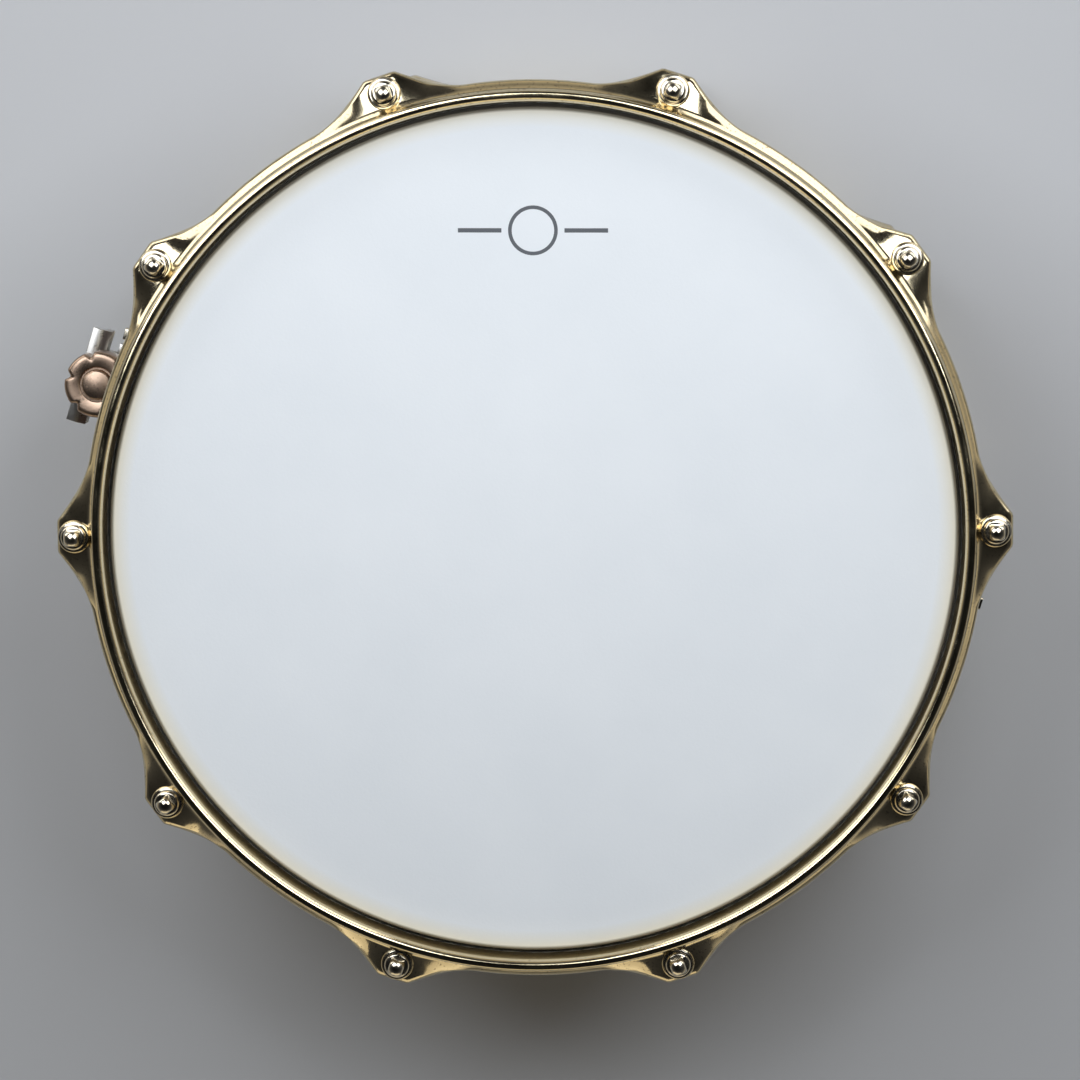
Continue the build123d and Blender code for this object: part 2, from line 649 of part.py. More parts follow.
def carriage():
    """The slide that the lever drops: a slab, the knob's flange and two trunnion brackets."""
    width = CHEEK_INNER - SLIDE_GAP
    top = FLANGE_BOTTOM + FLANGE
    slab = block(SLAB_BACK_R, SLAB_FRONT_R, -width, width, CHEEK_BOTTOM, top)
    front, half = KNOB_AXIS_R + FLANGE_FRONT, FLANGE_HALF_WIDTH
    flange = block(SLAB_BACK_R, front, -half, half, FLANGE_BOTTOM, top)
    flange = fillet(flange.edges().filter_by(Axis.Z).group_by(Axis.X)[-1], FLANGE_FRONT)
    flange = flange - disc(TENSION_SCREW_R + THREAD_GAP, FLANGE_BOTTOM - CUT, top + CUT, x=KNOB_AXIS_R)
    low, high = TRUNNION_Z - BRACKET_HEIGHT / 2, TRUNNION_Z + BRACKET_HEIGHT / 2
    reach = KNOB_AXIS_R + BRACKET_FRONT
    bracket = block(SLAB_BACK_R, reach, BRACKET_IN_Y, BRACKET_OUT_Y, low, high)
    trunnion = cross_bar(TRUNNION_R, BRACKET_IN_Y, ARM_OUT_Y - SLIDE_GAP, KNOB_AXIS_R, TRUNNION_Z)
    arm = bracket + trunnion
    return joined([slab, flange, arm, mirror(arm, about=Plane.XZ)])


def clamp_block():
    """The nut on the tension screw, with the strap's seat at its foot."""
    back, front = SLAB_FRONT_R + SLIDE_GAP, KNOB_AXIS_R + STEM_FRONT
    half = STEM_HALF_WIDTH
    stem = block(back, front, -half, half, STEM_BOTTOM, STEM_TOP)
    neck = block(back, STRAP_IN_R, -half, half, CLAMP_BOTTOM, STEM_TOP)
    bore = disc(TENSION_SCREW_R + THREAD_GAP, STEM_BOTTOM - CUT, STEM_TOP + CUT, x=KNOB_AXIS_R)
    return joined([stem - bore, neck, clamp_seat(SLAB_BACK_R)])


def lever():
    """The throw lever: two arms on the pivot screws and a wide finger plate."""
    tilt = LEVER_THROW / 2
    slot_half = TRUNNION_R + ARM_SLOT_SLACK
    near, far = TRUNNION_OFFSET, TRUNNION_OFFSET / cos(radians(tilt))
    boss_r = slot_half + ARM_SLOT_WALL
    boss = (far * cos(radians(tilt)), far * sin(radians(tilt)))
    back, face = LEVER_BACK_R - PIVOT_R, LEVER_BACK_R - PIVOT_R + LEVER_PLATE
    low, high = LEVER_BOTTOM - PIVOT_Z, LEVER_TOP - PIVOT_Z
    bend = high - LEVER_TAB_HEIGHT
    neck = [(-ARM_HUB_R, 0), (back, bend), (face, low), (boss[0] + boss_r, boss[1]), (0, -ARM_HUB_R)]
    outline = make_face(Polyline(neck, close=True)) + Circle(ARM_HUB_R) + Pos(*boss) * Circle(boss_r)
    slot = Pos((near + far) / 2, 0) * SlotCenterToCenter(far - near, 2 * slot_half)
    outline = outline - Circle(PIVOT_SCREW_R + THREAD_GAP) - Rot(0, 0, tilt) * slot
    arm = extrude(Plane.XZ * outline, -ARM)
    tip = face + LEVER_TAB
    plate = flat(
        [
            (back, low),
            (face, low),
            (face, bend),
            (tip, high - LEVER_PLATE / 2),
            (tip, high),
            (face, high),
            (back, bend + LEVER_PLATE / 2),
        ]
    )
    plate = extrude(plate, LEVER_HALF_WIDTH, both=True)
    arms = [Pos(0, ARM_IN_Y, 0) * arm, Pos(0, -ARM_OUT_Y, 0) * arm]
    return Pos(PIVOT_R, 0, PIVOT_Z) * joined([plate, *arms])


def pivot_screw(side):
    """A shouldered screw that the lever turns on."""
    inner, outer = ARM_IN_Y + SLIDE_GAP, CHEEK_INNER + CHEEK
    shank = cross_bar(PIVOT_SCREW_R, inner, outer, PIVOT_R, PIVOT_Z)
    screw = shank + cross_bar(PIVOT_HEAD_R, outer, outer + PIVOT_HEAD, PIVOT_R, PIVOT_Z)
    return screw if side > 0 else mirror(screw, about=Plane.XZ)


def knob():
    """The lobed tension knob."""
    top = KNOB_BOTTOM + KNOB_HEIGHT
    floor = top - KNOB_GROOVE
    body = disc(KNOB_R, KNOB_BOTTOM, top)
    body = chamfer(body.edges().group_by(Axis.Z)[-1], KNOB_EDGE)
    groove = tube(KNOB_GROOVE_R, KNOB_BOSS_R, floor, top + CUT, 0)
    notch = disc(KNOB_NOTCH_R, KNOB_BOTTOM - CUT, top + CUT, x=KNOB_R + KNOB_NOTCH_OUT)
    notches = around(notch, [360.0 / KNOB_LOBES * i for i in range(KNOB_LOBES)])
    body = body.cut(groove, disc(TENSION_SCREW_R, KNOB_BOTTOM - CUT, floor), *notches)
    return Pos(KNOB_AXIS_R, 0, 0) * (body + disc(KNOB_BOSS_R, floor, top + KNOB_BOSS))


def tension_screw():
    """The screw fixed in the knob, which draws the clamp block up or lets it down."""
    low, high = FLANGE_BOTTOM - TENSION_SCREW_TAIL, KNOB_BOTTOM + KNOB_HEIGHT - KNOB_GROOVE
    return disc(TENSION_SCREW_R, low, high, x=KNOB_AXIS_R)


def butt_body():
    """The butt plate's casting: a plate on the shell and a seat for the strap."""
    front = BASE_R + BASE_PLATE
    plate = block(SHELL_BORE_R, front, -CLAMP_HALF_WIDTH, CLAMP_HALF_WIDTH, BUTT_BOTTOM, BUTT_TOP)
    plate = fillet(plate.edges().filter_by(Axis.X), BASE_CORNER)
    holes = [bar(MOUNT_SCREW_R, SHELL_BORE_R, front + CUT, y, z) for y, z in BUTT_SCREWS]
    casting = joined([plate, clamp_seat(BASE_R)])
    return casting.cut(disc(BASE_R, BUTT_BOTTOM - CUT, BUTT_TOP + CUT), *holes)


def save_drum():
    """The shell, heads and hoops."""
    shell_middle = (SHELL_BOTTOM + SHELL_TOP) / 2
    save("shell", [shell()])
    save("batter_head_film", [head_film(BATTER_FILM)])
    save("snare_head_film", [below(head_film(SNARE_FILM), shell_middle)])
    save("batter_flesh_hoop", [flesh_hoop()])
    save("snare_flesh_hoop", [below(flesh_hoop())])
    save("batter_hoop", [hoop()])
    save("snare_hoop", [snare_hoop()])
    save("vent_grommet", [vent_grommet()])


def save_rods():
    """The tension rods, each a node of its own because each turns by itself."""
    for number, angle in enumerate(RING_ANGLES, 1):
        placed = Rot(0, 0, angle) * rod()
        save(f"batter_rod_{number:02d}", [placed])
        save(f"snare_rod_{number:02d}", [below(placed)])
    save("tension_rod_washers", both_ends(washer()))


def both_ends(shape):
    """A batter-side shape at every rod, and again at the snare side."""
    ring = around(shape, RING_ANGLES)
    return ring + [below(copy) for copy in ring]


def save_lugs():
    """The lugs, what they hold and the screws that hold them."""
    holes = [(0, z, LUG_SCREW_R + HOLE_GAP) for z in LUG_SCREW_Z]
    save("lug_casings", around(lug(), RING_ANGLES))
    save("lug_gaskets", around(gasket(LUG_HALF_WIDTH, LUG_BOTTOM, LUG_TOP, holes), RING_ANGLES))
    save("lug_nuts", both_ends(nut()))
    save("lug_nut_sleeves", both_ends(nut_sleeve()))
    screw = shell_screw(LUG_SCREW_R, LUG_SCREW_REACH - LUG_SCREW_END_GAP, 0, LUG_SCREW_Z[1])
    save("lug_screws", both_ends(screw))
    save("lug_screw_washers", both_ends(shell_washer(LUG_SCREW_R, 0, LUG_SCREW_Z[1])))


def save_throw_off():
    """The throw-off, with its carriage raised and its lever up."""
    holes = [(y, z, MOUNT_SCREW_R + HOLE_GAP) for y, z in BASE_SCREWS]
    reach = BASE_PLATE - SLIDE_GAP
    clip_top = FLANGE_BOTTOM - SLIDE_GAP
    clip = tube(CLIP_R, TENSION_SCREW_R, clip_top - CLIP, clip_top, KNOB_AXIS_R)
    wave_bore = TENSION_SCREW_R + THREAD_GAP
    wave_washer = tube(WAVE_WASHER_R, wave_bore, KNOB_BOTTOM - WAVE_WASHER, KNOB_BOTTOM, KNOB_AXIS_R)
    nodes = {
        "throw_off_base": [throw_off_base()],
        "throw_off_gasket": [gasket(BASE_HALF_WIDTH, BASE_BOTTOM, BASE_TOP, holes)],
        "throw_off_screws": [shell_screw(MOUNT_SCREW_R, reach, y, z) for y, z in BASE_SCREWS],
        "throw_lever": [lever()],
        "lever_pivot_screws": [pivot_screw(side) for side in (-1, 1)],
        "carriage": [carriage()],
        "clamp_block": [clamp_block()],
        "strap_clamp_plate": [clamp_plate()],
        "strap_clamp_screws": [clamp_screw(side) for side in (-1, 1)],
        "tension_knob": [knob()],
        "tension_screw": [tension_screw()],
        "tension_screw_clip": [clip],
        "knob_wave_washer": [wave_washer],
    }
    for name, shapes in nodes.items():
        save(name, [at_throw_off(shape) for shape in shapes])


def save_butt():
    """The butt plate, and the washers of both castings' screws."""
    holes = [(y, z, MOUNT_SCREW_R + HOLE_GAP) for y, z in BUTT_SCREWS]
    reach = BASE_PLATE - SLIDE_GAP
    save("butt_body", [butt_body()])
    save("butt_gasket", [gasket(CLAMP_HALF_WIDTH, BUTT_BOTTOM, BUTT_TOP, holes)])
    save("butt_screws", [shell_screw(MOUNT_SCREW_R, reach, y, z) for y, z in BUTT_SCREWS])
    save("butt_clamp_plate", [clamp_plate()])
    save("butt_clamp_screws", [clamp_screw(side) for side in (-1, 1)])
    washers = [at_throw_off(shell_washer(MOUNT_SCREW_R, y, z)) for y, z in BASE_SCREWS]
    washers += [shell_washer(MOUNT_SCREW_R, y, z) for y, z in BUTT_SCREWS]
    save("mount_screw_washers", washers)


def save_snares():
    """The snare wires and the straps that hold them."""
    save("snare_strands", strands())
    save("butt_end_plate", [end_plate()])
    save("throw_off_end_plate", [at_throw_off(end_plate())])
    save("butt_strap", [strap()])
    save("throw_off_strap", [at_throw_off(strap())])


os.makedirs("parts", exist_ok=True)
save_drum()
save_rods()
save_lugs()
save_throw_off()
save_butt()
save_snares()
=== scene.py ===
"""A 14 by 5.5 inch snare drum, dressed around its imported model.

The drum stands on its snare-side rim with its axis along +Z. The throw-off is at -X and
the butt plate at +X. Every length in this file is in metres, or in millimetres times MM.
"""
import json
import logging
import math
from dataclasses import dataclass
from enum import Enum
from typing import Iterable, Optional, Sequence, Union

import bmesh
import bpy
from mathutils import Matrix, Vector

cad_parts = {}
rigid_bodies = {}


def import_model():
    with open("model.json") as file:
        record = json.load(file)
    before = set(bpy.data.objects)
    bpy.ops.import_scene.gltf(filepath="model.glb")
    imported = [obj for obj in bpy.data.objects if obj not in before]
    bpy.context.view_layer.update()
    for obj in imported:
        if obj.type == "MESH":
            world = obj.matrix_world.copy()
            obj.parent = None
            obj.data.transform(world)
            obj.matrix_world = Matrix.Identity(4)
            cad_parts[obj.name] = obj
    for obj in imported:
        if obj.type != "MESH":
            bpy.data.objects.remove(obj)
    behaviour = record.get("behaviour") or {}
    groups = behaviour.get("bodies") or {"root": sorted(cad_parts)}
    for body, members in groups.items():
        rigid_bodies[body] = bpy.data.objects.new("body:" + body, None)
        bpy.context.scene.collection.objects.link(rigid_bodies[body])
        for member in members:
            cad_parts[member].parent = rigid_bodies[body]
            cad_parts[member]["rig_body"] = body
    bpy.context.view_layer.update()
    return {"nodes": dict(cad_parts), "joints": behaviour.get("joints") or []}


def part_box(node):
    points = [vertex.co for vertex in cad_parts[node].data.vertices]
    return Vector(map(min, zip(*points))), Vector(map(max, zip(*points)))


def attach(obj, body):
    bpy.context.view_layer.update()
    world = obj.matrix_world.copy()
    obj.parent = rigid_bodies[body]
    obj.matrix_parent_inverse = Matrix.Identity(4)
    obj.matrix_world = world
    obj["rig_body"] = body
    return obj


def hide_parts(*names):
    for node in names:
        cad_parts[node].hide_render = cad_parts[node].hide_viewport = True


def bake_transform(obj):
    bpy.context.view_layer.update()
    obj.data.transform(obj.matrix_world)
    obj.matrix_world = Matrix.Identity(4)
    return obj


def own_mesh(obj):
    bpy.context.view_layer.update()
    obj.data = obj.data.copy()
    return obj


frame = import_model()

MM = 0.001
WELD = 1e-7  # how near two points are when they are the same point
ROUND_STEPS = 8  # how many facets a quarter turn has in a section
NOISE_SPAN = (0.35, 0.65)  # where most of a noise's values lie
log = logging.getLogger("snare_drum")

Profile = list[tuple[float, float]]
Shape = bmesh.types.BMesh
Socket = bpy.types.NodeSocket


class End(Enum):
    """The drum's two ends, with the sign of the way each one faces."""

    BATTER = 1
    SNARE = -1


class Side(Enum):
    """Where a fitting sits round the shell, as its angle about +Z in degrees."""

    BUTT = 0
    THROW_OFF = 180


# ---------------------------------------------------------------- node and mesh helpers


def linear(hex_colour: str) -> tuple[float, float, float, float]:
    """Turn an sRGB hex colour to the linear values that a shader takes.

    Args:
        hex_colour: The colour as "#rrggbb".

    Returns:
        Linear red, green, blue and an alpha of one.
    """
    parts = [int(hex_colour[i : i + 2], 16) / 255 for i in (1, 3, 5)]
    red, green, blue = (p / 12.92 if p <= 0.04045 else ((p + 0.055) / 1.055) ** 2.4 for p in parts)
    return (red, green, blue, 1.0)


def add_node(
    tree: bpy.types.NodeTree,
    kind: str,
    settings: Optional[dict] = None,
    links: Optional[dict] = None,
) -> bpy.types.Node:
    """Add one node with its settings and the links that feed it.

    Args:
        tree: The tree that the node goes in.
        kind: The node's type, without its ShaderNode prefix.
        settings: Properties by name, or input values by socket name or number.
        links: The output socket that feeds each input, by socket name or number.

    Returns:
        The new node.
    """
    node = tree.nodes.new("ShaderNode" + kind)
    for key, value in (settings or {}).items():
        if isinstance(key, str) and hasattr(node, key):
            setattr(node, key, value)
        else:
            node.inputs[key].default_value = value
    for key, source in (links or {}).items():
        tree.links.new(source, node.inputs[key])
    return node


def fill_ramp(node: bpy.types.Node, stops: Sequence[tuple[float, str]]) -> None:
    """Give a colour ramp its stops.

    Args:
        node: The ramp's node.
        stops: The place and the sRGB hex colour of each stop, from the lowest up.
    """
    elements = node.color_ramp.elements
    for element, (spot, colour) in ((elements[0], stops[0]), (elements[1], stops[-1])):
        element.position, element.color = spot, linear(colour)
    for spot, colour in stops[1:-1]:
        elements.new(spot).color = linear(colour)


def beside(radius: float, height: float, *points: tuple[float, float]) -> Profile:
    """List a profile's points beside one place.

    Args:
        radius: The place's radius.
        height: Its height, or its depth where the profile counts in depths.
        points: How far out and how far along each point is from it, in millimetres.

    Returns:
        The points, as (radius, height).
    """
    return [(radius + out * MM, height + along * MM) for out, along in points]


def turned(profile: Profile, steps: int, closed: bool = True) -> Shape:
    """Turn a profile of (radius, height) points about +Z.

    Args:
        profile: The points, in order along the section.
        steps: How many facets go round.
        closed: Whether the last point joins the first one.

    Returns:
        The turned shape, with its seam and poles merged. The "row" layer holds the place in
        the profile that each vertex came from.
    """
    bm = bmesh.new()
    row = bm.verts.layers.int.new("row")
    verts = [bm.verts.new((r, 0, z)) for r, z in profile]
    for number, vert in enumerate(verts):
        vert[row] = number
    pairs = list(zip(verts, verts[1:])) + ([(verts[-1], verts[0])] if closed else [])
    edges = [bm.edges.new(pair) for pair in pairs]
    axis = {"cent": (0, 0, 0), "axis": (0, 0, 1)}
    bmesh.ops.spin(bm, geom=verts + edges, angle=math.tau, steps=steps, use_merge=True, **axis)
    bmesh.ops.remove_doubles(bm, verts=bm.verts, dist=WELD)
    bmesh.ops.recalc_face_normals(bm, faces=bm.faces)
    return bm


def lofted(sections: Sequence[Sequence[Vector]]) -> Shape:
    """Run a skin through closed sections that have the same number of points.

    Args:
        sections: The sections, in order from one capped end to the other.

    Returns:
        The closed shape.
    """
    bm = bmesh.new()
    ring = [bm.verts.new(point) for point in sections[0]]
    edges = [bm.edges.new(pair) for pair in zip(ring, ring[1:] + ring[:1])]
    bmesh.ops.contextual_create(bm, geom=edges)
    for section in sections[1:]:
        made = bmesh.ops.extrude_edge_only(bm, edges=edges)["geom"]
        # a new vertex starts where the one that it was drawn from is
        drawn = {tuple(v.co): v for v in made if isinstance(v, bmesh.types.BMVert)}
        ring = [drawn[tuple(v.co)] for v in ring]
        for vert, point in zip(ring, section):
            vert.co = point
        edges = [bm.edges.get(pair) for pair in zip(ring, ring[1:] + ring[:1])]
    bmesh.ops.contextual_create(bm, geom=edges)
    bmesh.ops.recalc_face_normals(bm, faces=bm.faces)
    return bm


def merged(parts: Sequence[Shape]) -> Shape:
    """Put several shapes in one mesh, and free the ones after the first."""
    first, *rest = parts
    for part in rest:
        holder = bpy.data.meshes.new("holder")
        part.to_mesh(holder)
        part.free()
        first.from_mesh(holder)
        bpy.data.meshes.remove(holder)
    return first


def placed(bm: Shape, matrix: Matrix) -> Shape:
    """Give a copy of a shape moved by a matrix, with its faces pointing outwards."""
    copy = bm.copy()
    bmesh.ops.transform(copy, matrix=matrix, verts=copy.verts)
    if matrix.determinant() < 0:
        bmesh.ops.reverse_faces(copy, faces=copy.faces)
    return copy


def repeated(bm: Shape, matrices: Iterable[Matrix]) -> Shape:
    """Put a copy of a shape at each matrix in one mesh, and free the shape."""
    made = merged([placed(bm, matrix) for matrix in matrices])
    bm.free()
    return made


def eased(node: str, radius: float) -> Shape:
    """Copy a CAD node's shape, merge its loose triangles and round its sharp edges.

    Args:
        node: The CAD node's name.
        radius: How much of each edge is taken off, or nothing where it is zero.

    Returns:
        The copied shape.
    """
    loose, flat, corner, segments = 2e-6, math.radians(0.5), math.radians(40), 3
    bm = bmesh.new()
    bm.from_mesh(frame["nodes"][node].data)
    bmesh.ops.remove_doubles(bm, verts=bm.verts, dist=loose)
    bmesh.ops.dissolve_limit(bm, angle_limit=flat, verts=bm.verts, edges=bm.edges)
    if radius > 0:
        bmesh.ops.bevel(
            bm,
            geom=[e for e in bm.edges if len(e.link_faces) == 2 and e.calc_face_angle() > corner],
            offset=radius,
            segments=segments,
            profile=0.5,
            affect="EDGES",
            clamp_overlap=True,
            material=-1,
        )
    bmesh.ops.triangulate(bm, faces=[f for f in bm.faces if len(f.verts) > 4])
    return bm


def smooth(share: float) -> float:
    """Ease a share from nought to one with level ends."""
    share = min(1.0, max(0.0, share))
    return share * share * (3 - 2 * share)


# ---------------------------------------------------------------- finishes


@dataclass(frozen=True)
class Surface:
    """A material in the making: its nodes, and the steps that the finishes share.

    Attributes:
        tree: The material's node tree.
        shader: Its Principled shader.
    """

    tree: bpy.types.NodeTree
    shader: bpy.types.Node

    def place(self) -> Socket:
        """Add the piece's own coordinates, in metres."""
        return add_node(self.tree, "TexCoord").outputs["Object"]

    def feed(self, inlet: str, value: Socket) -> None:
        """Link a value to one of the shader's inputs."""
        self.tree.links.new(value, self.shader.inputs[inlet])

    def maths(self, operation: str, *values: Union[float, Socket]) -> Socket:
        """Add a sum of values that are numbers or sockets."""
        numbers = {i: v for i, v in enumerate(values) if isinstance(v, (int, float))}
        links = {i: v for i, v in enumerate(values) if i not in numbers}
        return add_node(self.tree, "Math", {"operation": operation, **numbers}, links).outputs[0]

    def length(self, vector: Socket) -> Socket:
        """Add a vector's length."""
        return add_node(self.tree, "VectorMath", {"operation": "LENGTH"}, {0: vector}).outputs["Value"]

    def span(
        self, value: Socket, low: float, high: float, new_low: float = 0.0, new_high: float = 1.0
    ) -> Socket:
        """Move a value from the span low to high to another span, and clamp it there."""
        settings = {"From Min": low, "From Max": high, "To Min": new_low, "To Max": new_high}
        return add_node(self.tree, "MapRange", settings, {"Value": value}).outputs[0]

    def noise(self, size: float, detail: float = 2.0, stretch: tuple = (1, 1, 1)) -> Socket:
        """Add noise.

        Args:
            size: About how large its features are, in metres.
            detail: How many finer layers it has.
            stretch: How much denser it is along each axis.

        Returns:
            The noise's value.
        """
        place = add_node(self.tree, "Mapping", {"Scale": stretch}, {"Vector": self.place()})
        settings = {"Scale": 1 / size, "Detail": detail}
        return add_node(self.tree, "TexNoise", settings, {"Vector": place.outputs[0]}).outputs["Fac"]

    def mixed(self, share: Socket, base: Union[str, Socket], other: str) -> Socket:
        """Mix two colours.

        Args:
            share: How much of the other colour there is.
            base: The first colour, as "#rrggbb" or as a socket.
            other: The other colour, as "#rrggbb".

        Returns:
            The mixed colour.
        """
        first, second = 6, 7  # the colour inputs among a Mix node's inputs
        settings, links = {"data_type": "RGBA", second: linear(other)}, {0: share}
        if isinstance(base, str):
            settings[first] = linear(base)
        else:
            links[first] = base
        return add_node(self.tree, "Mix", settings, links).outputs[2]

    def gloss(self, value: Socket, low: float, high: float) -> None:
        """Vary the roughness from low to high with a noise."""
        self.feed("Roughness", self.span(value, *NOISE_SPAN, low, high))

    def bump(self, height: Socket, depth: float, strength: float = 1.0) -> None:
        """Raise the surface by a height, depth metres deep."""
        settings = {"Distance": depth, "Strength": strength}
        self.feed("Normal", add_node(self.tree, "Bump", settings, {"Height": height}).outputs[0])


@dataclass(frozen=True)
class Finish:
    """A surface finish. Each kind of finish adds its own pattern.

    Attributes:
        name: What a maker would call it.
        slot: The record's material slot that it belongs to. Not used.
        colour: Its sRGB hex colour.
        roughness: Its typical roughness.
        metallic: One for a metal.
    """

    name: str
    slot: str
    colour: str
    roughness: float
    metallic: float = 0.0

    def material(self) -> bpy.types.Material:
        """Make the finish's material, or give the one that was made before."""
        known = bpy.data.materials.get(self.name)
        if known:
            return known
        made = bpy.data.materials.new(self.name)
        made.use_nodes = True
        shader = made.node_tree.nodes["Principled BSDF"]
        shader.inputs["Base Color"].default_value = linear(self.colour)
        shader.inputs["Roughness"].default_value = self.roughness
        shader.inputs["Metallic"].default_value = self.metallic
        self.pattern(Surface(made.node_tree, shader))
        return made

    def pattern(self, face: Surface) -> None:
        """Add what the eye sees on the surface: a plain finish adds nothing."""


@dataclass(frozen=True)
class PlatedCasting(Finish):
    """Nickel plate on a polished zinc casting: a warm mirror with a slight ripple, and
    pinhead pits and haze where the polishing wheel didn't reach.

    Attributes:
        haze: How much rougher the haze is than the polish.
        haze_size: How wide a patch of haze is.
        ripple: How wide the wheel's ripple is.
        ripple_depth: How deep it is.
        pit: How wide a pit is.
        pit_colour: The colour of a pit.
    """

    haze: float = 0.10
    haze_size: float = 14 * MM
    ripple: float = 9 * MM
    ripple_depth: float = 0.06 * MM
    pit: float = 0.9 * MM
    pit_colour: str = "#6b5f4c"

    def pattern(self, face: Surface) -> None:
        """Add haze, pits and the ripple."""
        face.gloss(face.noise(self.haze_size, 4), self.roughness, self.roughness + self.haze)
        # only the noise's highest peaks are pits, and none is wholly dark
        pits = face.span(face.noise(self.pit, 1), 0.645, 0.70, 0.0, 0.6)
        face.feed("Base Color", face.mixed(pits, self.colour, self.pit_colour))
        face.bump(face.noise(self.ripple, 2), self.ripple_depth)


@dataclass(frozen=True)
class TurnedSteel(Finish):
    """Nickel-plated turned steel: bright, with the lathe's fine feed lines around it.

    Attributes:
        haze: How much rougher handled places are.
        haze_size: How wide they are.
        line: How wide a feed line is, drawn coarser than life so that it shows.
        line_length: How many times longer than wide a line is.
        line_depth: How deep it is.
    """

    haze: float = 0.12
    haze_size: float = 4 * MM
    line: float = 0.25 * MM
    line_length: int = 6
    line_depth: float = 0.012 * MM

    def pattern(self, face: Surface) -> None:
        """Add feed lines and handling haze."""
        face.gloss(face.noise(self.haze_size, 3), self.roughness, self.roughness + self.haze)
        lines = face.noise(self.line * self.line_length, 1, (1, 1, self.line_length))
        face.bump(lines, self.line_depth)


@dataclass(frozen=True)
class SatinCasting(Finish):
    """Tumbled and satin-plated zinc: greyer and softer than the polished pieces.

    Attributes:
        grain: How wide the tumbled grain is.
        grain_depth: How deep it is.
        patch: How wide a patch of one gloss is.
    """

    grain: float = 0.5 * MM
    grain_depth: float = 0.02 * MM
    patch: float = 6 * MM

    def pattern(self, face: Surface) -> None:
        """Add the tumbled grain and a soft change of gloss."""
        face.gloss(face.noise(self.patch, 3), self.roughness - 0.05, self.roughness + 0.08)
        face.bump(face.noise(self.grain, 2), self.grain_depth)


@dataclass(frozen=True)
class Extrusion(Finish):
    """Bright aluminium extrusion: long draw lines and a milky gloss.

    Attributes:
        line: How long a draw line is.
        line_length: How many times longer than wide it is.
        line_depth: How deep it is.
    """

    line: float = 4 * MM
    line_length: int = 12
    line_depth: float = 0.02 * MM

    def pattern(self, face: Surface) -> None:
        """Add the draw lines, which lie one above the other."""
        lines = face.noise(self.line, 2, (1, 1, self.line_length))
        face.gloss(lines, self.roughness, self.roughness + 0.15)
        face.bump(lines, self.line_depth)


@dataclass(frozen=True)
class SprayedFilm(Finish):
    """A polyester film with a sprayed white coating: matt and finely toothed, and bare and
    glossy outside the coating's edge. A plain ring with two bars is printed on it.

    Attributes:
        shade: The colour where the coats are thinner than elsewhere.
        painted_glow: The colour of the warm reflection painted along the coating's edge.
        ink: The printed mark's colour.
        film: The bare film's colour.
        film_roughness: The bare film's roughness.
        coating_r: The coating's outer radius.
        coating_edge: Half the width that it ends over.
        glow_width: How wide the painted reflection at the coating's edge is.
        coat_patch: How wide a patch of one coating colour is.
        tooth: How wide the coating's tooth is.
        tooth_depth: How deep it is.
        mark_r: The radius that the mark's middle is at.
        mark_angle: Its angle about +Z, in degrees.
        ring_r: The mark's ring's radius.
        ring_width: How wide the ring's line is.
        bar_out: How far the bars' middles are from the ring's.
        bar_half_length: Half a bar's length.
        bar_half_width: Half a bar's width.
    """

    shade: str = "#e4e8ea"
    painted_glow: str = "#e3d3a2"
    ink: str = "#5d6064"
    film: str = "#8f8a7e"
    film_roughness: float = 0.12
    coating_r: float = 175.4 * MM
    coating_edge: float = 0.5 * MM
    glow_width: float = 7 * MM
    coat_patch: float = 45 * MM
    tooth: float = 1.1 * MM
    tooth_depth: float = 0.05 * MM
    mark_r: float = 126 * MM
    mark_angle: float = 107.4
    ring_r: float = 9.5 * MM
    ring_width: float = 1.5 * MM
    bar_out: float = 22 * MM
    bar_half_length: float = 9 * MM
    bar_half_width: float = 0.9 * MM

    def pattern(self, face: Surface) -> None:
        """Add the coating's colours and bare edge, a painted warm reflection along its edge, its tooth and
        the printed mark.
        """
        settings = {"operation": "MULTIPLY", 1: (1, 1, 0)}
        flat = add_node(face.tree, "VectorMath", settings, {0: face.place()})
        radius = face.length(flat.outputs[0])
        bare = face.span(radius, self.coating_r - self.coating_edge, self.coating_r + self.coating_edge)
        colour = face.mixed(face.noise(self.coat_patch, 4), self.shade, self.colour)
        # a warm reflection of the hoop's bevel is painted over the coating's last few millimetres
        glow_share = face.span(radius, self.coating_r - self.glow_width, self.coating_r, 0.0, 0.45)
        for share, other in ((glow_share, self.painted_glow), (self.mark(face), self.ink), (bare, self.film)):
            colour = face.mixed(share, colour, other)
        face.feed("Base Color", colour)
        face.feed("Roughness", face.span(bare, 0.0, 1.0, self.roughness, self.film_roughness))
        coated = face.maths("SUBTRACT", 1.0, bare)
        face.bump(face.maths("MULTIPLY", face.noise(self.tooth, 3), coated), self.tooth_depth)

    def mark(self, face: Surface) -> Socket:
        """Add the printed mark's mask: one where the ink is."""
        angle = math.radians(self.mark_angle)
        turn = math.radians(90) - angle
        middle = Vector((math.cos(angle), math.sin(angle), 0)) * self.mark_r
        shift = -(Matrix.Rotation(turn, 4, "Z") @ middle)
        settings = {"Location": (shift.x, shift.y, 0), "Rotation": (0, 0, turn), "Scale": (1, 1, 0)}
        local = add_node(face.tree, "Mapping", settings, {"Vector": face.place()}).outputs[0]
        across, upwards = add_node(face.tree, "SeparateXYZ", {}, {0: local}).outputs[:2]
        ring = face.maths("COMPARE", face.length(local), self.ring_r, self.ring_width / 2)
        aside = face.maths("ABSOLUTE", across)
        long_way = face.maths("COMPARE", aside, self.bar_out, self.bar_half_length)
        short_way = face.maths("COMPARE", upwards, 0.0, self.bar_half_width)
        return face.maths("MAXIMUM", ring, face.maths("MULTIPLY", long_way, short_way))


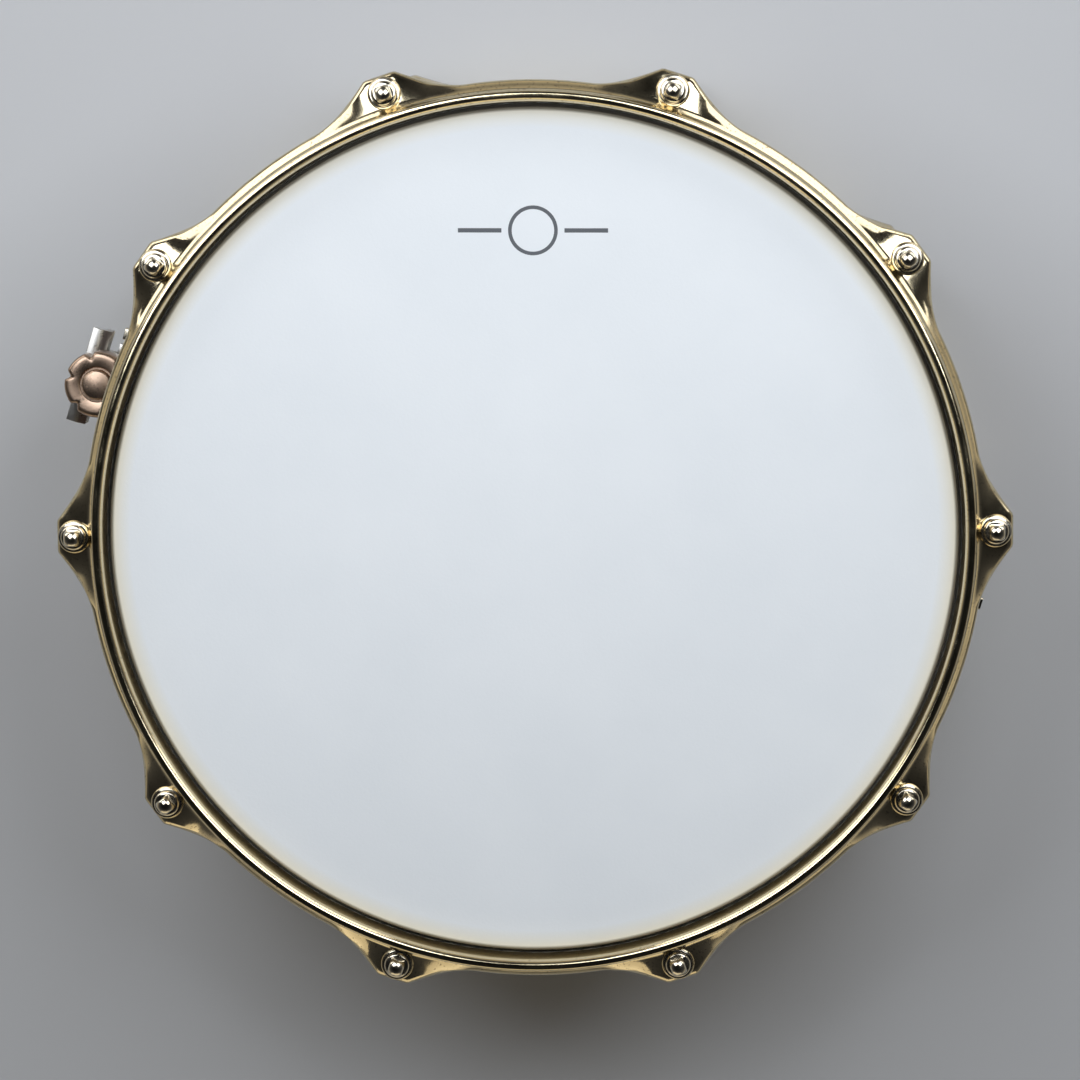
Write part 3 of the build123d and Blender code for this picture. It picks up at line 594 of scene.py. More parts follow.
@dataclass(frozen=True)
class ClearFilm(Finish):
    """Thin hazy polyester: mostly seen through, with a wet gloss.

    Attributes:
        alpha: How much of it isn't seen through.
        patch: How wide a patch of one haze is.
    """

    alpha: float = 0.4
    patch: float = 30 * MM

    def pattern(self, face: Surface) -> None:
        """Add its see-through share and faint drawn haze."""
        face.shader.inputs["Alpha"].default_value = self.alpha
        face.gloss(face.noise(self.patch, 3), self.roughness, self.roughness + 0.1)


@dataclass(frozen=True)
class LacqueredPly(Finish):
    """Walnut-faced plies under gloss lacquer: the veneer's grain runs around the shell.

    Attributes:
        dark: The colour of the darkest figure.
        light: The colour of the lightest.
        figure: How wide the figure is across the grain.
        grain: How wide a fibre is.
        pore_depth: How deep the pores between fibres are.
        wrap_r: The radius that the veneer is wrapped at.
    """

    dark: str = "#23100a"
    light: str = "#7b4725"
    figure: float = 11 * MM
    grain: float = 1.6 * MM
    pore_depth: float = 0.02 * MM
    wrap_r: float = 176.5 * MM

    def pattern(self, face: Surface) -> None:
        """Add the figure and pores, and the lacquer over them."""
        tree = face.tree
        x, y, z = add_node(tree, "SeparateXYZ", {}, {0: face.place()}).outputs
        way = face.maths("MULTIPLY", face.maths("ARCTAN2", y, x), self.wrap_r)
        wrapped = add_node(tree, "CombineXYZ", {}, {0: way, 1: z}).outputs[0]
        # growth lines are far longer than they are wide, so the grain is stretched along them
        along = add_node(tree, "Mapping", {"Scale": (0.05, 1, 1)}, {0: wrapped}).outputs[0]
        broad = {"Scale": 1 / self.figure, "Detail": 6.0, "Distortion": 1.2}
        fine = {"Scale": 1 / self.grain, "Detail": 3.0}
        figure, fibres = (add_node(tree, "TexNoise", s, {0: along}).outputs["Fac"] for s in (broad, fine))
        both = add_node(tree, "Mix", {0: 0.35}, {2: figure, 3: fibres}).outputs[0]
        stops = add_node(tree, "ValToRGB", {}, {0: both})
        fill_ramp(stops, [(0.36, self.dark), (0.5, self.colour), (0.66, self.light)])
        face.feed("Base Color", stops.outputs[0])
        face.shader.inputs["Coat Weight"].default_value = 1.0
        face.shader.inputs["Coat Roughness"].default_value = 0.04
        face.bump(fibres, self.pore_depth, 0.4)


@dataclass(frozen=True)
class FibreSheet(Finish):
    """Pressed gasket sheet: dull, with short fibres.

    Attributes:
        fibre: How long a fibre is.
        nap: How deep the nap is.
        fibre_colour: The lightest fibres' colour.
    """

    fibre: float = 0.8 * MM
    nap: float = 0.05 * MM
    fibre_colour: str = "#2f2f30"

    def pattern(self, face: Surface) -> None:
        """Add the fibres' mottle and nap."""
        mottle = face.noise(self.fibre, 2)
        share = face.span(mottle, *NOISE_SPAN, 0.0, 0.5)
        face.feed("Base Color", face.mixed(share, self.colour, self.fibre_colour))
        face.bump(mottle, self.nap)


@dataclass(frozen=True)
class MouldedNylon(Finish):
    """Moulded nylon: waxy and slightly see-through, with a faint flow pattern.

    Attributes:
        flow: How wide the flow pattern is.
        flow_depth: How deep it is.
        glow_depth: How far light goes in.
    """

    flow: float = 5 * MM
    flow_depth: float = 0.03 * MM
    glow_depth: float = 1 * MM

    def pattern(self, face: Surface) -> None:
        """Add the wax-like depth and flow lines."""
        face.shader.inputs["Subsurface Weight"].default_value = 0.2
        face.shader.inputs["Subsurface Scale"].default_value = self.glow_depth
        flow = face.noise(self.flow, 2)
        face.gloss(flow, self.roughness, self.roughness + 0.15)
        face.bump(flow, self.flow_depth)


@dataclass(frozen=True)
class DrawnWire(Finish):
    """Drawn carbon-steel wire: bright with a slight blue-brown temper.

    Attributes:
        temper: The temper's colour.
        temper_size: How long a tempered stretch is.
        draw: How wide the drawing marks are.
        draw_depth: How deep they are.
    """

    temper: str = "#7c7468"
    temper_size: float = 8 * MM
    draw: float = 0.4 * MM
    draw_depth: float = 0.01 * MM

    def pattern(self, face: Surface) -> None:
        """Add the temper's change of colour along the coil, and the drawing marks."""
        share = face.span(face.noise(self.temper_size, 3), *NOISE_SPAN, 0.0, 0.6)
        face.feed("Base Color", face.mixed(share, self.colour, self.temper))
        face.bump(face.noise(self.draw, 1), self.draw_depth)


HOOP_NICKEL = PlatedCasting("polished nickel casting", "nickel_casting", "#dbcca9", 0.07, 1.0)
LUG_NICKEL = PlatedCasting("polished nickel lug", "nickel_casting", "#d5cdbd", 0.08, 1.0, ripple=12 * MM)
PART_NICKEL = PlatedCasting("polished nickel part", "nickel_parts", "#d6c7ad", 0.10, 1.0, ripple=6 * MM)
# the knob's nickel is painted darker and browner than the other nickel parts: painted shade and a painted
# warm reflection
SHADED_KNOB_NICKEL = PlatedCasting("polished nickel knob in painted shade", "nickel_parts", "#a8907c", 0.24, 1.0, ripple=5 * MM)
BODY_SATIN = SatinCasting("satin nickel casting", "nickel_casting", "#bdbab4", 0.30, 1.0)
SLIDE_SATIN = SatinCasting("satin nickel slide", "nickel_parts", "#b9b6b0", 0.32, 1.0)
SCREW_STEEL = TurnedSteel("plated turned steel", "plated_steel", "#d9cfba", 0.10, 1.0)
RING_ALUMINIUM = Extrusion("aluminium extrusion", "aluminium_extrusion", "#d0d2d3", 0.25, 1.0)
HEAD_COATING = SprayedFilm("sprayed head coating", "coated_film", "#eef1f2", 0.68)
HAZY_FILM = ClearFilm("clear head film", "clear_film", "#d9dbd6", 0.12)
SHELL_PLY = LacqueredPly("lacquered walnut ply", "lacquered_wood", "#4a2615", 0.35)
BLACK_SHEET = FibreSheet("pressed gasket sheet", "black_gasket", "#141415", 0.85)
TURNED_BRASS = TurnedSteel("turned brass", "brass", "#d6b36a", 0.18, 1.0)
SLEEVE_NYLON = MouldedNylon("moulded nylon", "nylon", "#e6e2d4", 0.45)
WIRE_STEEL = DrawnWire("drawn snare wire", "strand_steel", "#b9b6ae", 0.22, 1.0)
STRAP_FILM = MouldedNylon("milky strap film", "strap_film", "#dfe1de", 0.25)
FLOOR_GREY = Finish("studio floor", "", "#c9cacb", 0.85)


def publish(
    bm: Shape,
    name: str,
    finish: Finish,
    body: Optional[str],
    nodes: Sequence[str] = (),
    sharp: float = 38.0,
) -> bpy.types.Object:
    """Make a shape a finished piece of the drum.

    Args:
        bm: The shape, in the drum's frame. It is freed.
        name: The piece's name.
        finish: Its finish.
        body: The CAD body that it moves with, or None for a piece that is left without one.
        nodes: The CAD nodes that it stands for.
        sharp: The angle in degrees past which an edge is shaded as an edge.

    Returns:
        The piece.
    """
    mesh = bpy.data.meshes.new(name)
    bm.to_mesh(mesh)
    bm.free()
    if "custom_normal" in mesh.attributes:
        mesh.attributes.remove(mesh.attributes["custom_normal"])
    mesh.materials.clear()
    mesh.materials.append(finish.material())
    mesh.polygons.foreach_set("material_index", [0] * len(mesh.polygons))
    mesh.shade_smooth()
    mesh.set_sharp_from_angle(angle=math.radians(sharp))
    piece = bpy.data.objects.new(name, mesh)
    bpy.context.scene.collection.objects.link(piece)
    if body:
        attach(piece, body)
    if nodes:
        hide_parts(*nodes)
    log.info("%s: %d faces, moves with %s", name, len(mesh.polygons), body)
    return piece


def dress(finish: Finish, *nodes: str) -> None:
    """Give CAD nodes that stay visible their finish.

    Args:
        finish: Their finish.
        nodes: The CAD nodes' names.
    """
    for node in nodes:
        shown = frame["nodes"][node]
        if not shown.material_slots:
            shown.data.materials.append(None)
        for slot in shown.material_slots:
            slot.material = finish.material()
        log.info("%s: keeps its own shape, in %s", node, finish.name)


def body_of(node: str) -> str:
    """Give the name of the body that a CAD node moves with."""
    return frame["nodes"][node]["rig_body"]


def joint_place(name: str) -> Vector:
    """Give a joint's place."""
    return Vector(next(joint["pos_m"] for joint in frame["joints"] if joint["name"] == name))


# ---------------------------------------------------------------- where things are


@dataclass(frozen=True)
class Rod:
    """A tension rod's place.

    Attributes:
        node: Its CAD node.
        x: Its axis's x.
        y: Its axis's y.
        end: The end of the drum that it tunes.
    """

    node: str
    x: float
    y: float
    end: End

    @property
    def angle(self) -> float:
        """Its angle about the drum's axis, in radians."""
        return math.atan2(self.y, self.x)


@dataclass(frozen=True)
class Layout:
    """The places that the pieces share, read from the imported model.

    Attributes:
        top: The batter hoop's rim.
        rods: The twenty tension rods.
        rod_circle: The radius that their axes lie on.
        boss_drop: How far the hoops' boss faces, which the washers sit on, are from the rims.
    """

    top: float
    rods: tuple[Rod, ...]
    rod_circle: float
    boss_drop: float = 11.0 * MM

    @staticmethod
    def read() -> "Layout":
        """Read the layout from the frame."""
        rods = []
        for joint in frame["joints"]:
            if joint["name"].startswith("tension_rod_"):
                x, y, _ = joint["pos_m"]
                end = End.BATTER if "batter" in joint["name"] else End.SNARE
                rods.append(Rod(joint["child"], x, y, end))
        circle = math.hypot(rods[0].x, rods[0].y)
        return Layout(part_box("batter_hoop")[1].z, tuple(rods), circle)

    @property
    def boss_face(self) -> float:
        """The height of the batter hoop's boss faces."""
        return self.top - self.boss_drop

    def flip(self) -> Matrix:
        """Give the matrix that mirrors the batter end to the snare end."""
        return Matrix.Translation((0, 0, self.top)) @ Matrix.Diagonal((1, 1, -1, 1))

    def at_rod(self, rod: Rod) -> Matrix:
        """Give the matrix that takes a batter-end shape from the z axis to a rod's axis."""
        end = Matrix.Identity(4) if rod.end is End.BATTER else self.flip()
        return end @ Matrix.Translation((rod.x, rod.y, 0))

    def ring(self) -> list[float]:
        """Give the rods' angles about the axis, in radians."""
        return [rod.angle for rod in self.rods if rod.end is End.BATTER]


# ---------------------------------------------------------------- hoops


@dataclass
class Hoops:
    """The two die-cast hoops, each a rim, a skirt and ten ears faired into it.

    Attributes:
        layout: The shared places.
        rim_in: The rim's bore.
        rim_out: The rim's outside.
        skirt_in: The skirt's bore.
        skirt_out: The skirt's outside.
        flange_in: The flange's bore.
        ear_reach: How far the ears go past the rods' axes.
        ear_flat: Half the width of an ear's straight outer edge.
        ear_full: The reach that an ear has its full thickness from.
        fairing: How far along the hoop an ear's flanks run.
        flank: How hollow a flank is, one being straight.
        boss_r: The radius of the raised boss round each rod.
        gate_low: The depth that a strap gate starts at.
        gate_high: The depth that it ends at.
        gate_half: Half its width.
        steps: How many facets go round.
    """

    layout: Layout
    rim_in: float = 178.9 * MM
    rim_out: float = 183.3 * MM
    skirt_in: float = 183.8 * MM
    skirt_out: float = 187.9 * MM
    flange_in: float = 178.3 * MM
    ear_reach: float = 7.6 * MM
    ear_flat: float = 6.5 * MM
    ear_full: float = 5.5 * MM
    fairing: float = 33 * MM
    flank: float = 1.7
    boss_r: float = 7.0 * MM
    gate_low: float = 3.5 * MM
    gate_high: float = 12.5 * MM
    gate_half: float = 17.0 * MM
    steps: int = 1080

    def plain_section(self) -> Profile:
        """List the section's points between the ears, as (radius, depth under the rim)."""
        gate_low, gate_high = self.gate_low / MM, self.gate_high / MM
        bevel = beside(
            self.rim_in, 0, (-0.15, gate_low), (0, 1.6), (0.14, 1.2), (1.15, 0.35), (1.55, 0.08), (1.9, 0)
        )
        rim = beside(self.rim_out, 0, (-1.3, 0), (-0.75, 0.12), (-0.25, 0.5), (0, 1.2), (0, gate_low))
        shoulder = beside(self.rim_out, 0, (0, 7.8), (0.3, 8.7), (1.1, 9.6), (2.5, 10.7))
        shoulder += beside(self.skirt_out, 0, (-0.7, 11.8), (-0.15, gate_high), (0, 13.8))
        skirt = beside(self.skirt_out, 0, (0, 17.2), (0, 18.8), (0, 19.8), (0, 20.4), (0, 21.3), (0, 24.2))
        foot = beside(self.skirt_out, 0, (-0.5, 25.0)) + beside(self.skirt_in, 0, (0.5, 25.0), (0, 24.5))
        inside = beside(self.skirt_in, 0, (0, 14.6), (-0.3, 14.0))
        flange = beside(self.flange_in, 0, (0, 14.0), (0.1, gate_high))
        # ear_moves counts the points in this order
        return flange + bevel + rim + shoulder + skirt + foot + inside

    def ear_moves(self) -> dict[int, tuple[float, float, float]]:
        """List how an ear moves the section's points, by their place in the section.

        Returns:
            The share of the ear's reach that a point moves out by, and how far out and how
            far down the full ear moves it besides, in millimetres.
        """
        return {
            15: (0.0, 0.0, 0.5),
            16: (0.1, 0.0, 0.7),
            17: (0.8, 0.0, 0.7),
            18: (1.0, -1.2, 0.6),
            19: (1.0, -0.3, 0.0),
            20: (1.0, 0.0, -1.9),
            21: (1.0, -0.5, -1.2),
            22: (1.0, -1.2, -0.5),
            23: (0.9, -1.6, -0.4),
            24: (0.0, 0.3, -0.5),
        }

    def edge_radius(self, angle: float) -> float:
        """Give the hoop's outer radius at an angle, ears and flanks included."""
        pitch = math.tau / len(self.layout.ring())
        off = (angle - self.layout.ring()[0] + pitch / 2) % pitch - pitch / 2
        along = abs(self.layout.rod_circle * math.sin(off))
        reach = self.layout.rod_circle + self.ear_reach - self.skirt_out
        if along <= self.ear_flat:
            return (self.skirt_out + reach) / math.cos(off)
        share = min(1.0, (along - self.ear_flat) / (self.fairing - self.ear_flat))
        return self.skirt_out + reach * (1 - share) ** self.flank

    def shape(self) -> Shape:
        """Build the batter hoop: turn the plain section, then draw out the ears."""
        section = self.plain_section()
        top = self.layout.top
        bm = turned([(r, top - depth) for r, depth in section], self.steps)
        rows = bm.verts.layers.int["row"]
        moves = self.ear_moves()
        for vert in bm.verts:
            row = vert[rows]
            angle = math.atan2(vert.co.y, vert.co.x)
            reach = self.edge_radius(angle) - self.skirt_out
            if row not in moves or reach <= 0:
                continue
            share, out, down = moves[row]
            full = smooth(reach / self.ear_full) * MM
            radius = section[row][0] + share * reach + out * full
            depth = section[row][1] + down * full
            vert.co = (radius * math.cos(angle), radius * math.sin(angle), top - depth)
        bmesh.ops.recalc_face_normals(bm, faces=bm.faces)
        return bm

    def bosses(self) -> Shape:
        """Build the raised round boss that each batter washer sits on."""
        top, r = self.layout.boss_face, self.boss_r
        side = beside(r, top, (-0.9, -8.0), (-0.1, -6.0), (0, -1.1), (-0.15, -0.5), (-0.5, -0.12), (-1.0, 0))
        boss = turned([(0, side[0][1]), *side, (0, top)], steps=64, closed=False)
        return repeated(boss, [self.layout.at_rod(rod) for rod in self.layout.rods if rod.end is End.BATTER])

    def cut_gates(self, bm: Shape) -> None:
        """Cut the two gates for the snare straps through a snare-end hoop."""
        half_angle = math.asin(self.gate_half / self.rim_out)
        near = 1e-6
        for side in Side:
            middle = math.radians(side.value)
            doomed = []
            for face in bm.faces:
                centre = face.calc_center_median()
                off = math.remainder(math.atan2(centre.y, centre.x) - middle, math.tau)
                low = min(v.co.z for v in face.verts) > self.gate_low - near
                high = max(v.co.z for v in face.verts) < self.gate_high + near
                if abs(off) < half_angle and low and high:
                    doomed.append(face)
            bmesh.ops.delete(bm, geom=doomed, context="FACES")
        edges = [edge for edge in bm.edges if edge.is_boundary]
        for side in Side:
            beyond = math.cos(math.radians(side.value))
            bmesh.ops.bridge_loops(bm, edges=[e for e in edges if e.verts[0].co.x * beyond > 0])
        bmesh.ops.recalc_face_normals(bm, faces=bm.faces)

    def build(self) -> None:
        """Build both hoops."""
        batter, bosses = self.shape(), self.bosses()
        snare, snare_bosses = placed(batter, self.layout.flip()), placed(bosses, self.layout.flip())
        self.cut_gates(snare)
        for name, parts in {"batter_hoop": [batter, bosses], "snare_hoop": [snare, snare_bosses]}.items():
            publish(merged(parts), name + "_cast", HOOP_NICKEL, "root", [name], sharp=50)


# ---------------------------------------------------------------- heads and shell


@dataclass
class Heads:
    """The two heads: films drawn over the bearing edges into their flesh hoops.

    Attributes:
        film_r: The radius of the film's upright collar, at its outside.
        bend: The radius that it turns over the bearing edge with.
        collar: How far down the collar runs.
        foot: How much further down the film enters the flesh hoop.
        foot_r: The radius where it does.
        batter_thickness: The coated film's thickness.
        snare_thickness: The clear film's thickness.
        steps: How many facets go round.
    """

    film_r: float = 176.85 * MM
    bend: float = 1.9 * MM
    collar: float = 5.7 * MM
    foot: float = 1.9 * MM
    foot_r: float = 178.3 * MM
    batter_thickness: float = 0.3 * MM
    snare_thickness: float = 0.2 * MM
    steps: int = 360

    def film(self, top: float, thickness: float) -> Shape:
        """Build a film.

        Args:
            top: The height of its upper face.
            thickness: Its thickness.

        Returns:
            The film.
        """
        outer = [(share * MM, top) for share in (0, 60, 120, 168)]
        for i in range(ROUND_STEPS + 1):
            turn = math.radians(90 * i / ROUND_STEPS)
            fall = self.bend * (1 - math.cos(turn))
            outer.append((self.film_r - self.bend + self.bend * math.sin(turn), top - fall))
        outer.append((self.film_r, top - self.collar))
        outer.append((self.foot_r, top - self.collar - self.foot))
        inner = [(r - thickness, z - thickness / 3) for r, z in reversed(outer[-3:])]
        inner += [(r - thickness / 2, z - thickness) for r, z in reversed(outer[1:-3])]
        return turned(outer + inner + [(0, top - thickness)], self.steps, closed=False)

    def build(self) -> None:
        """Build the batter head and the snare-side head."""
        batter = self.film(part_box("batter_head_film")[1].z, self.batter_thickness)
        publish(batter, "batter_head_coated", HEAD_COATING, "root", ["batter_head_film"], sharp=60)
        low = Matrix.Translation((0, 0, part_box("snare_head_film")[0].z))
        snare = repeated(self.film(0.0, self.snare_thickness), [low @ Matrix.Diagonal((1, 1, -1, 1))])
        publish(snare, "snare_head_clear", HAZY_FILM, "root", ["snare_head_film"], sharp=60)
        dress(RING_ALUMINIUM, "batter_flesh_hoop", "snare_flesh_hoop")


@dataclass
class Shell:
    """The plied shell and its vent.

    Attributes:
        layout: The shared places.
        vent_angle: The vent's angle about +Z, in degrees.
        shell_r: The shell's outer radius.
        lip_r: The radius that the vent's inner lip is rolled over at.
    """

    layout: Layout
    vent_angle: float = 288.0
    shell_r: float = 176.5 * MM
    lip_r: float = 168.9 * MM

    def vent(self) -> Shape:
        """Build the vent's grommet: a domed flange, a barrel and a rolled inner lip."""
        out, lip = self.shell_r, self.lip_r
        dome = beside(0, out, (4.0, 0.4), (4.2, 1.0), (4.8, 1.35), (6.2, 1.4), (8.3, 1.1), (9.6, 0.6))
        dome += beside(0, out, (10.0, 0.2), (9.9, -0.3), (6.0, -0.2))
        rolled = beside(0, lip, (6.0, 1.4), (7.9, 1.2), (8.0, 0.4), (7.4, -0.1), (5.0, -0.4), (4.2, -0.2))
        lathe = turned(beside(0, lip, (4.0, 0.2)) + dome + rolled, steps=72)
        around = Matrix.Rotation(math.radians(self.vent_angle), 4, "Z")
        outwards = Matrix.Rotation(math.radians(90), 4, "Y")
        return repeated(lathe, [Matrix.Translation((0, 0, self.layout.top / 2)) @ around @ outwards])

    def build(self) -> None:
        """Dress the shell and build its vent."""
        dress(SHELL_PLY, "shell")
        publish(self.vent(), "vent_grommet_rolled", PART_NICKEL, "root", ["vent_grommet"])


# ---------------------------------------------------------------- rods and lugs


@dataclass
class TensionRods:
    """Twenty tension rods, each with a real thread, a flange and a domed square head.

    Attributes:
        layout: The shared places.
        shank_r: The shank's radius.
        root_r: The radius at the bottom of the thread.
        pitch: The thread's pitch.
        turn_steps: How many facets one turn of the thread has.
        smooth_length: How much of the shank has no thread, under the flange.
        square: The head's width across its flats.
        corner_r: The radius of its corners.
        dome: The height of its dome.
        flange_r: The flange's radius.
        flange: The flange's thickness.
        washer: How far the flange is from the boss's face, with the washer between.
    """

    layout: Layout
    shank_r: float = 2.75 * MM
    root_r: float = 2.35 * MM
    pitch: float = 1.06 * MM
    turn_steps: int = 20
    smooth_length: float = 17.0 * MM
    square: float = 6.3 * MM
    corner_r: float = 4.0 * MM
    dome: float = 3.0 * MM
    flange_r: float = 5.35 * MM
    flange: float = 1.8 * MM
    washer: float = 1.25 * MM

    def seat(self) -> float:
        """Give the height of the underside of a batter rod's flange."""
        return self.layout.boss_face + self.washer

    def thread(self, low: float, high: float) -> Shape:
        """Build the thread as one helical skin from low to high."""
        bm = bmesh.new()
        root, crest = self.root_r, self.shank_r
        points = [(root, 0.0), (root, 0.12), (crest, 0.5), (crest, 0.62), (root, 1)]
        verts = [bm.verts.new((r, 0, low + share * self.pitch)) for r, share in points]
        edges = [bm.edges.new(pair) for pair in zip(verts, verts[1:])]
        turns = math.ceil((high - low) / self.pitch)
        bmesh.ops.spin(
            bm,
            geom=verts + edges,
            cent=(0, 0, 0),
            axis=(0, 0, 1),
            dvec=(0, 0, self.pitch / self.turn_steps),
            angle=math.tau * turns,
            steps=self.turn_steps * turns,
            use_merge=False,
        )
        bmesh.ops.remove_doubles(bm, verts=bm.verts, dist=WELD)
        bmesh.ops.recalc_face_normals(bm, faces=bm.faces)
        return bm

    def head(self) -> Shape:
        """Build the head: a turned dome whose four flats are pressed in afterwards."""
        foot = self.seat() + self.flange - 0.2 * MM
        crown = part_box(self.layout.rods[0].node)[1].z
        side = [(0, foot), (self.corner_r, foot)]
        for i in range(ROUND_STEPS + 1):
            turn = math.radians(90 * i / ROUND_STEPS)
            side.append((self.corner_r * math.cos(turn), crown - self.dome + self.dome * math.sin(turn)))
        bm = turned(side, steps=64, closed=False)
        half = self.square / 2
        for vert in bm.verts:
            vert.co.x = min(half, max(-half, vert.co.x))
            vert.co.y = min(half, max(-half, vert.co.y))
        return bm

    def rod(self) -> Shape:
        """Build a batter rod about the z axis."""
        tip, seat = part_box(self.layout.rods[0].node)[0].z, self.seat()
        crest, flange_r = self.shank_r, self.flange_r
        thread_top = seat - self.smooth_length
        core = beside(0, tip, (0, 0.05))
        core += beside(self.root_r, tip, (-0.4, 0.05), (-0.02, 0.5))
        core += beside(self.root_r, thread_top, (-0.02, -0.6)) + beside(crest, thread_top, (-0.02, 0))
        core += beside(crest, seat, (0, -0.3), (0.3, 0))
        core += beside(flange_r, seat, (-0.5, 0), (-0.1, 0.25), (0, 0.8), (-0.2, 1.35), (-0.8, 1.7))
        core += beside(flange_r, seat + self.flange, (-1.5, 0)) + [(0, seat + self.flange)]
        thread = self.thread(tip + 0.6 * MM, thread_top - 1.4 * MM)
        return merged([turned(core, steps=48, closed=False), thread, self.head()])

    def washers(self) -> Shape:
        """Build the washers under all the rods' heads."""
        low = self.layout.boss_face
        section = beside(0, low, (3.05, 0.02), (3.05, 1.1), (3.2, 1.2), (5.75, 1.2), (6.15, 1.05))
        section += beside(0, low, (6.3, 0.7), (6.3, 0.3), (6.1, 0.02))
        return repeated(turned(section, steps=56), [self.layout.at_rod(rod) for rod in self.layout.rods])

    def build(self) -> None:
        """Build every rod, and the washers."""
        rod_shape = self.rod()
        for rod in self.layout.rods:
            spot = self.layout.at_rod(rod) @ Matrix.Rotation(rod.angle, 4, "Z")
            shape = placed(rod_shape, spot)
            publish(shape, rod.node + "_threaded", SCREW_STEEL, rod.node, [rod.node], sharp=45)
        rod_shape.free()
        washers = ["tension_rod_washers"]
        publish(self.washers(), "tension_rod_washers_rounded", SCREW_STEEL, "root", washers)


@dataclass
class Lugs:
    """Ten cast lugs: a rounded turret for each nut and a scooped waist between.

    Attributes:
        layout: The shared places.
        half_width: Half a turret's width.
        waist_half_width: Half the waist's width.
        turret: How long each turret is.
        scoop: How far the waist is scooped in from the turrets' fronts.
        scoop_flat: How long the deep part of the scoop is, two being a circle's.
        scoop_edge: How round the scoop's ends are, one being straight.
        back: The radius where the casting meets its gasket.
        front_steps: How many facets its round front has.
        waist_steps: How many levels the waist has.
    """

    layout: Layout
    half_width: float = 7.8 * MM
    waist_half_width: float = 5.6 * MM
    turret: float = 18.0 * MM
    scoop: float = 11.5 * MM
    scoop_flat: float = 3.2
    scoop_edge: float = 0.62
    back: float = 177.12 * MM
    front_steps: int = 24
    waist_steps: int = 26

    def outline(self, height: float, half: float, front: float) -> list[Vector]:
        """List one level's outline: a flat back, two sides and a round front."""
        centre = front - half
        points = [Vector((self.back, -half, height))]
        for i in range(self.front_steps + 1):
            turn = math.radians(-90 + 180 * i / self.front_steps)
            points.append(Vector((centre + half * math.cos(turn), half * math.sin(turn), height)))
        points.append(Vector((self.back, half, height)))
        return points

    def lug(self) -> Shape:
        """Build the lug at +X."""
        low, high = (corner.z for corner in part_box("lug_casings"))
        front = self.layout.rod_circle + self.half_width
        # how far from the end a level is, and how far in its sides and its front are
        ends = [(0.0, 1.1, 3.0), (0.12, 0.62, 2.45), (0.45, 0.22, 1.85), (1.0, 0.0, 1.2), (2.3, 0.0, 0.0)]
        ends += [(4.0, 0.0, 0.0), (4.25, 0.32, 0.32), (4.75, 0.32, 0.32), (5.0, 0.0, 0.0)]
        turret = [(up * MM, self.half_width - side * MM, front - nose * MM) for up, side, nose in ends]
        half_length = (high - low) / 2 - self.turret
        levels = [(low + up, half, nose) for up, half, nose in turret]
        for i in range(self.waist_steps + 1):
            along = -1 + 2 * i / self.waist_steps
            depth = (1 - abs(along) ** self.scoop_flat) ** self.scoop_edge
            half = self.half_width - (self.half_width - self.waist_half_width) * smooth(depth)
            levels.append((self.layout.top / 2 + along * half_length, half, front - self.scoop * depth))
        levels += [(high - up, half, nose) for up, half, nose in reversed(turret)]
        return lofted([self.outline(*level) for level in levels])

    def build(self) -> None:
        """Build the lugs and dress what belongs to them."""
        lugs = repeated(self.lug(), [Matrix.Rotation(angle, 4, "Z") for angle in self.layout.ring()])
        publish(lugs, "lug_casings_cast", LUG_NICKEL, "root", ["lug_casings"], sharp=50)
        dress(BLACK_SHEET, "lug_gaskets")
        dress(TURNED_BRASS, "lug_nuts")
        dress(SLEEVE_NYLON, "lug_nut_sleeves")
        dress(SCREW_STEEL, "lug_screws", "lug_screw_washers")


# ---------------------------------------------------------------- throw-off and butt

CASTING_EASING = 0.5 * MM
SCREW_EASING = 0.3 * MM


def ease_pieces(pieces: dict[str, tuple[Finish, float]]) -> None:
    """Build pieces that are their CAD nodes with rounded edges.

    Args:
        pieces: The finish of each CAD node, and how much is taken off its edges.
    """
    for node, (finish, radius) in pieces.items():
        publish(eased(node, radius), node + "_eased", finish, body_of(node), [node])


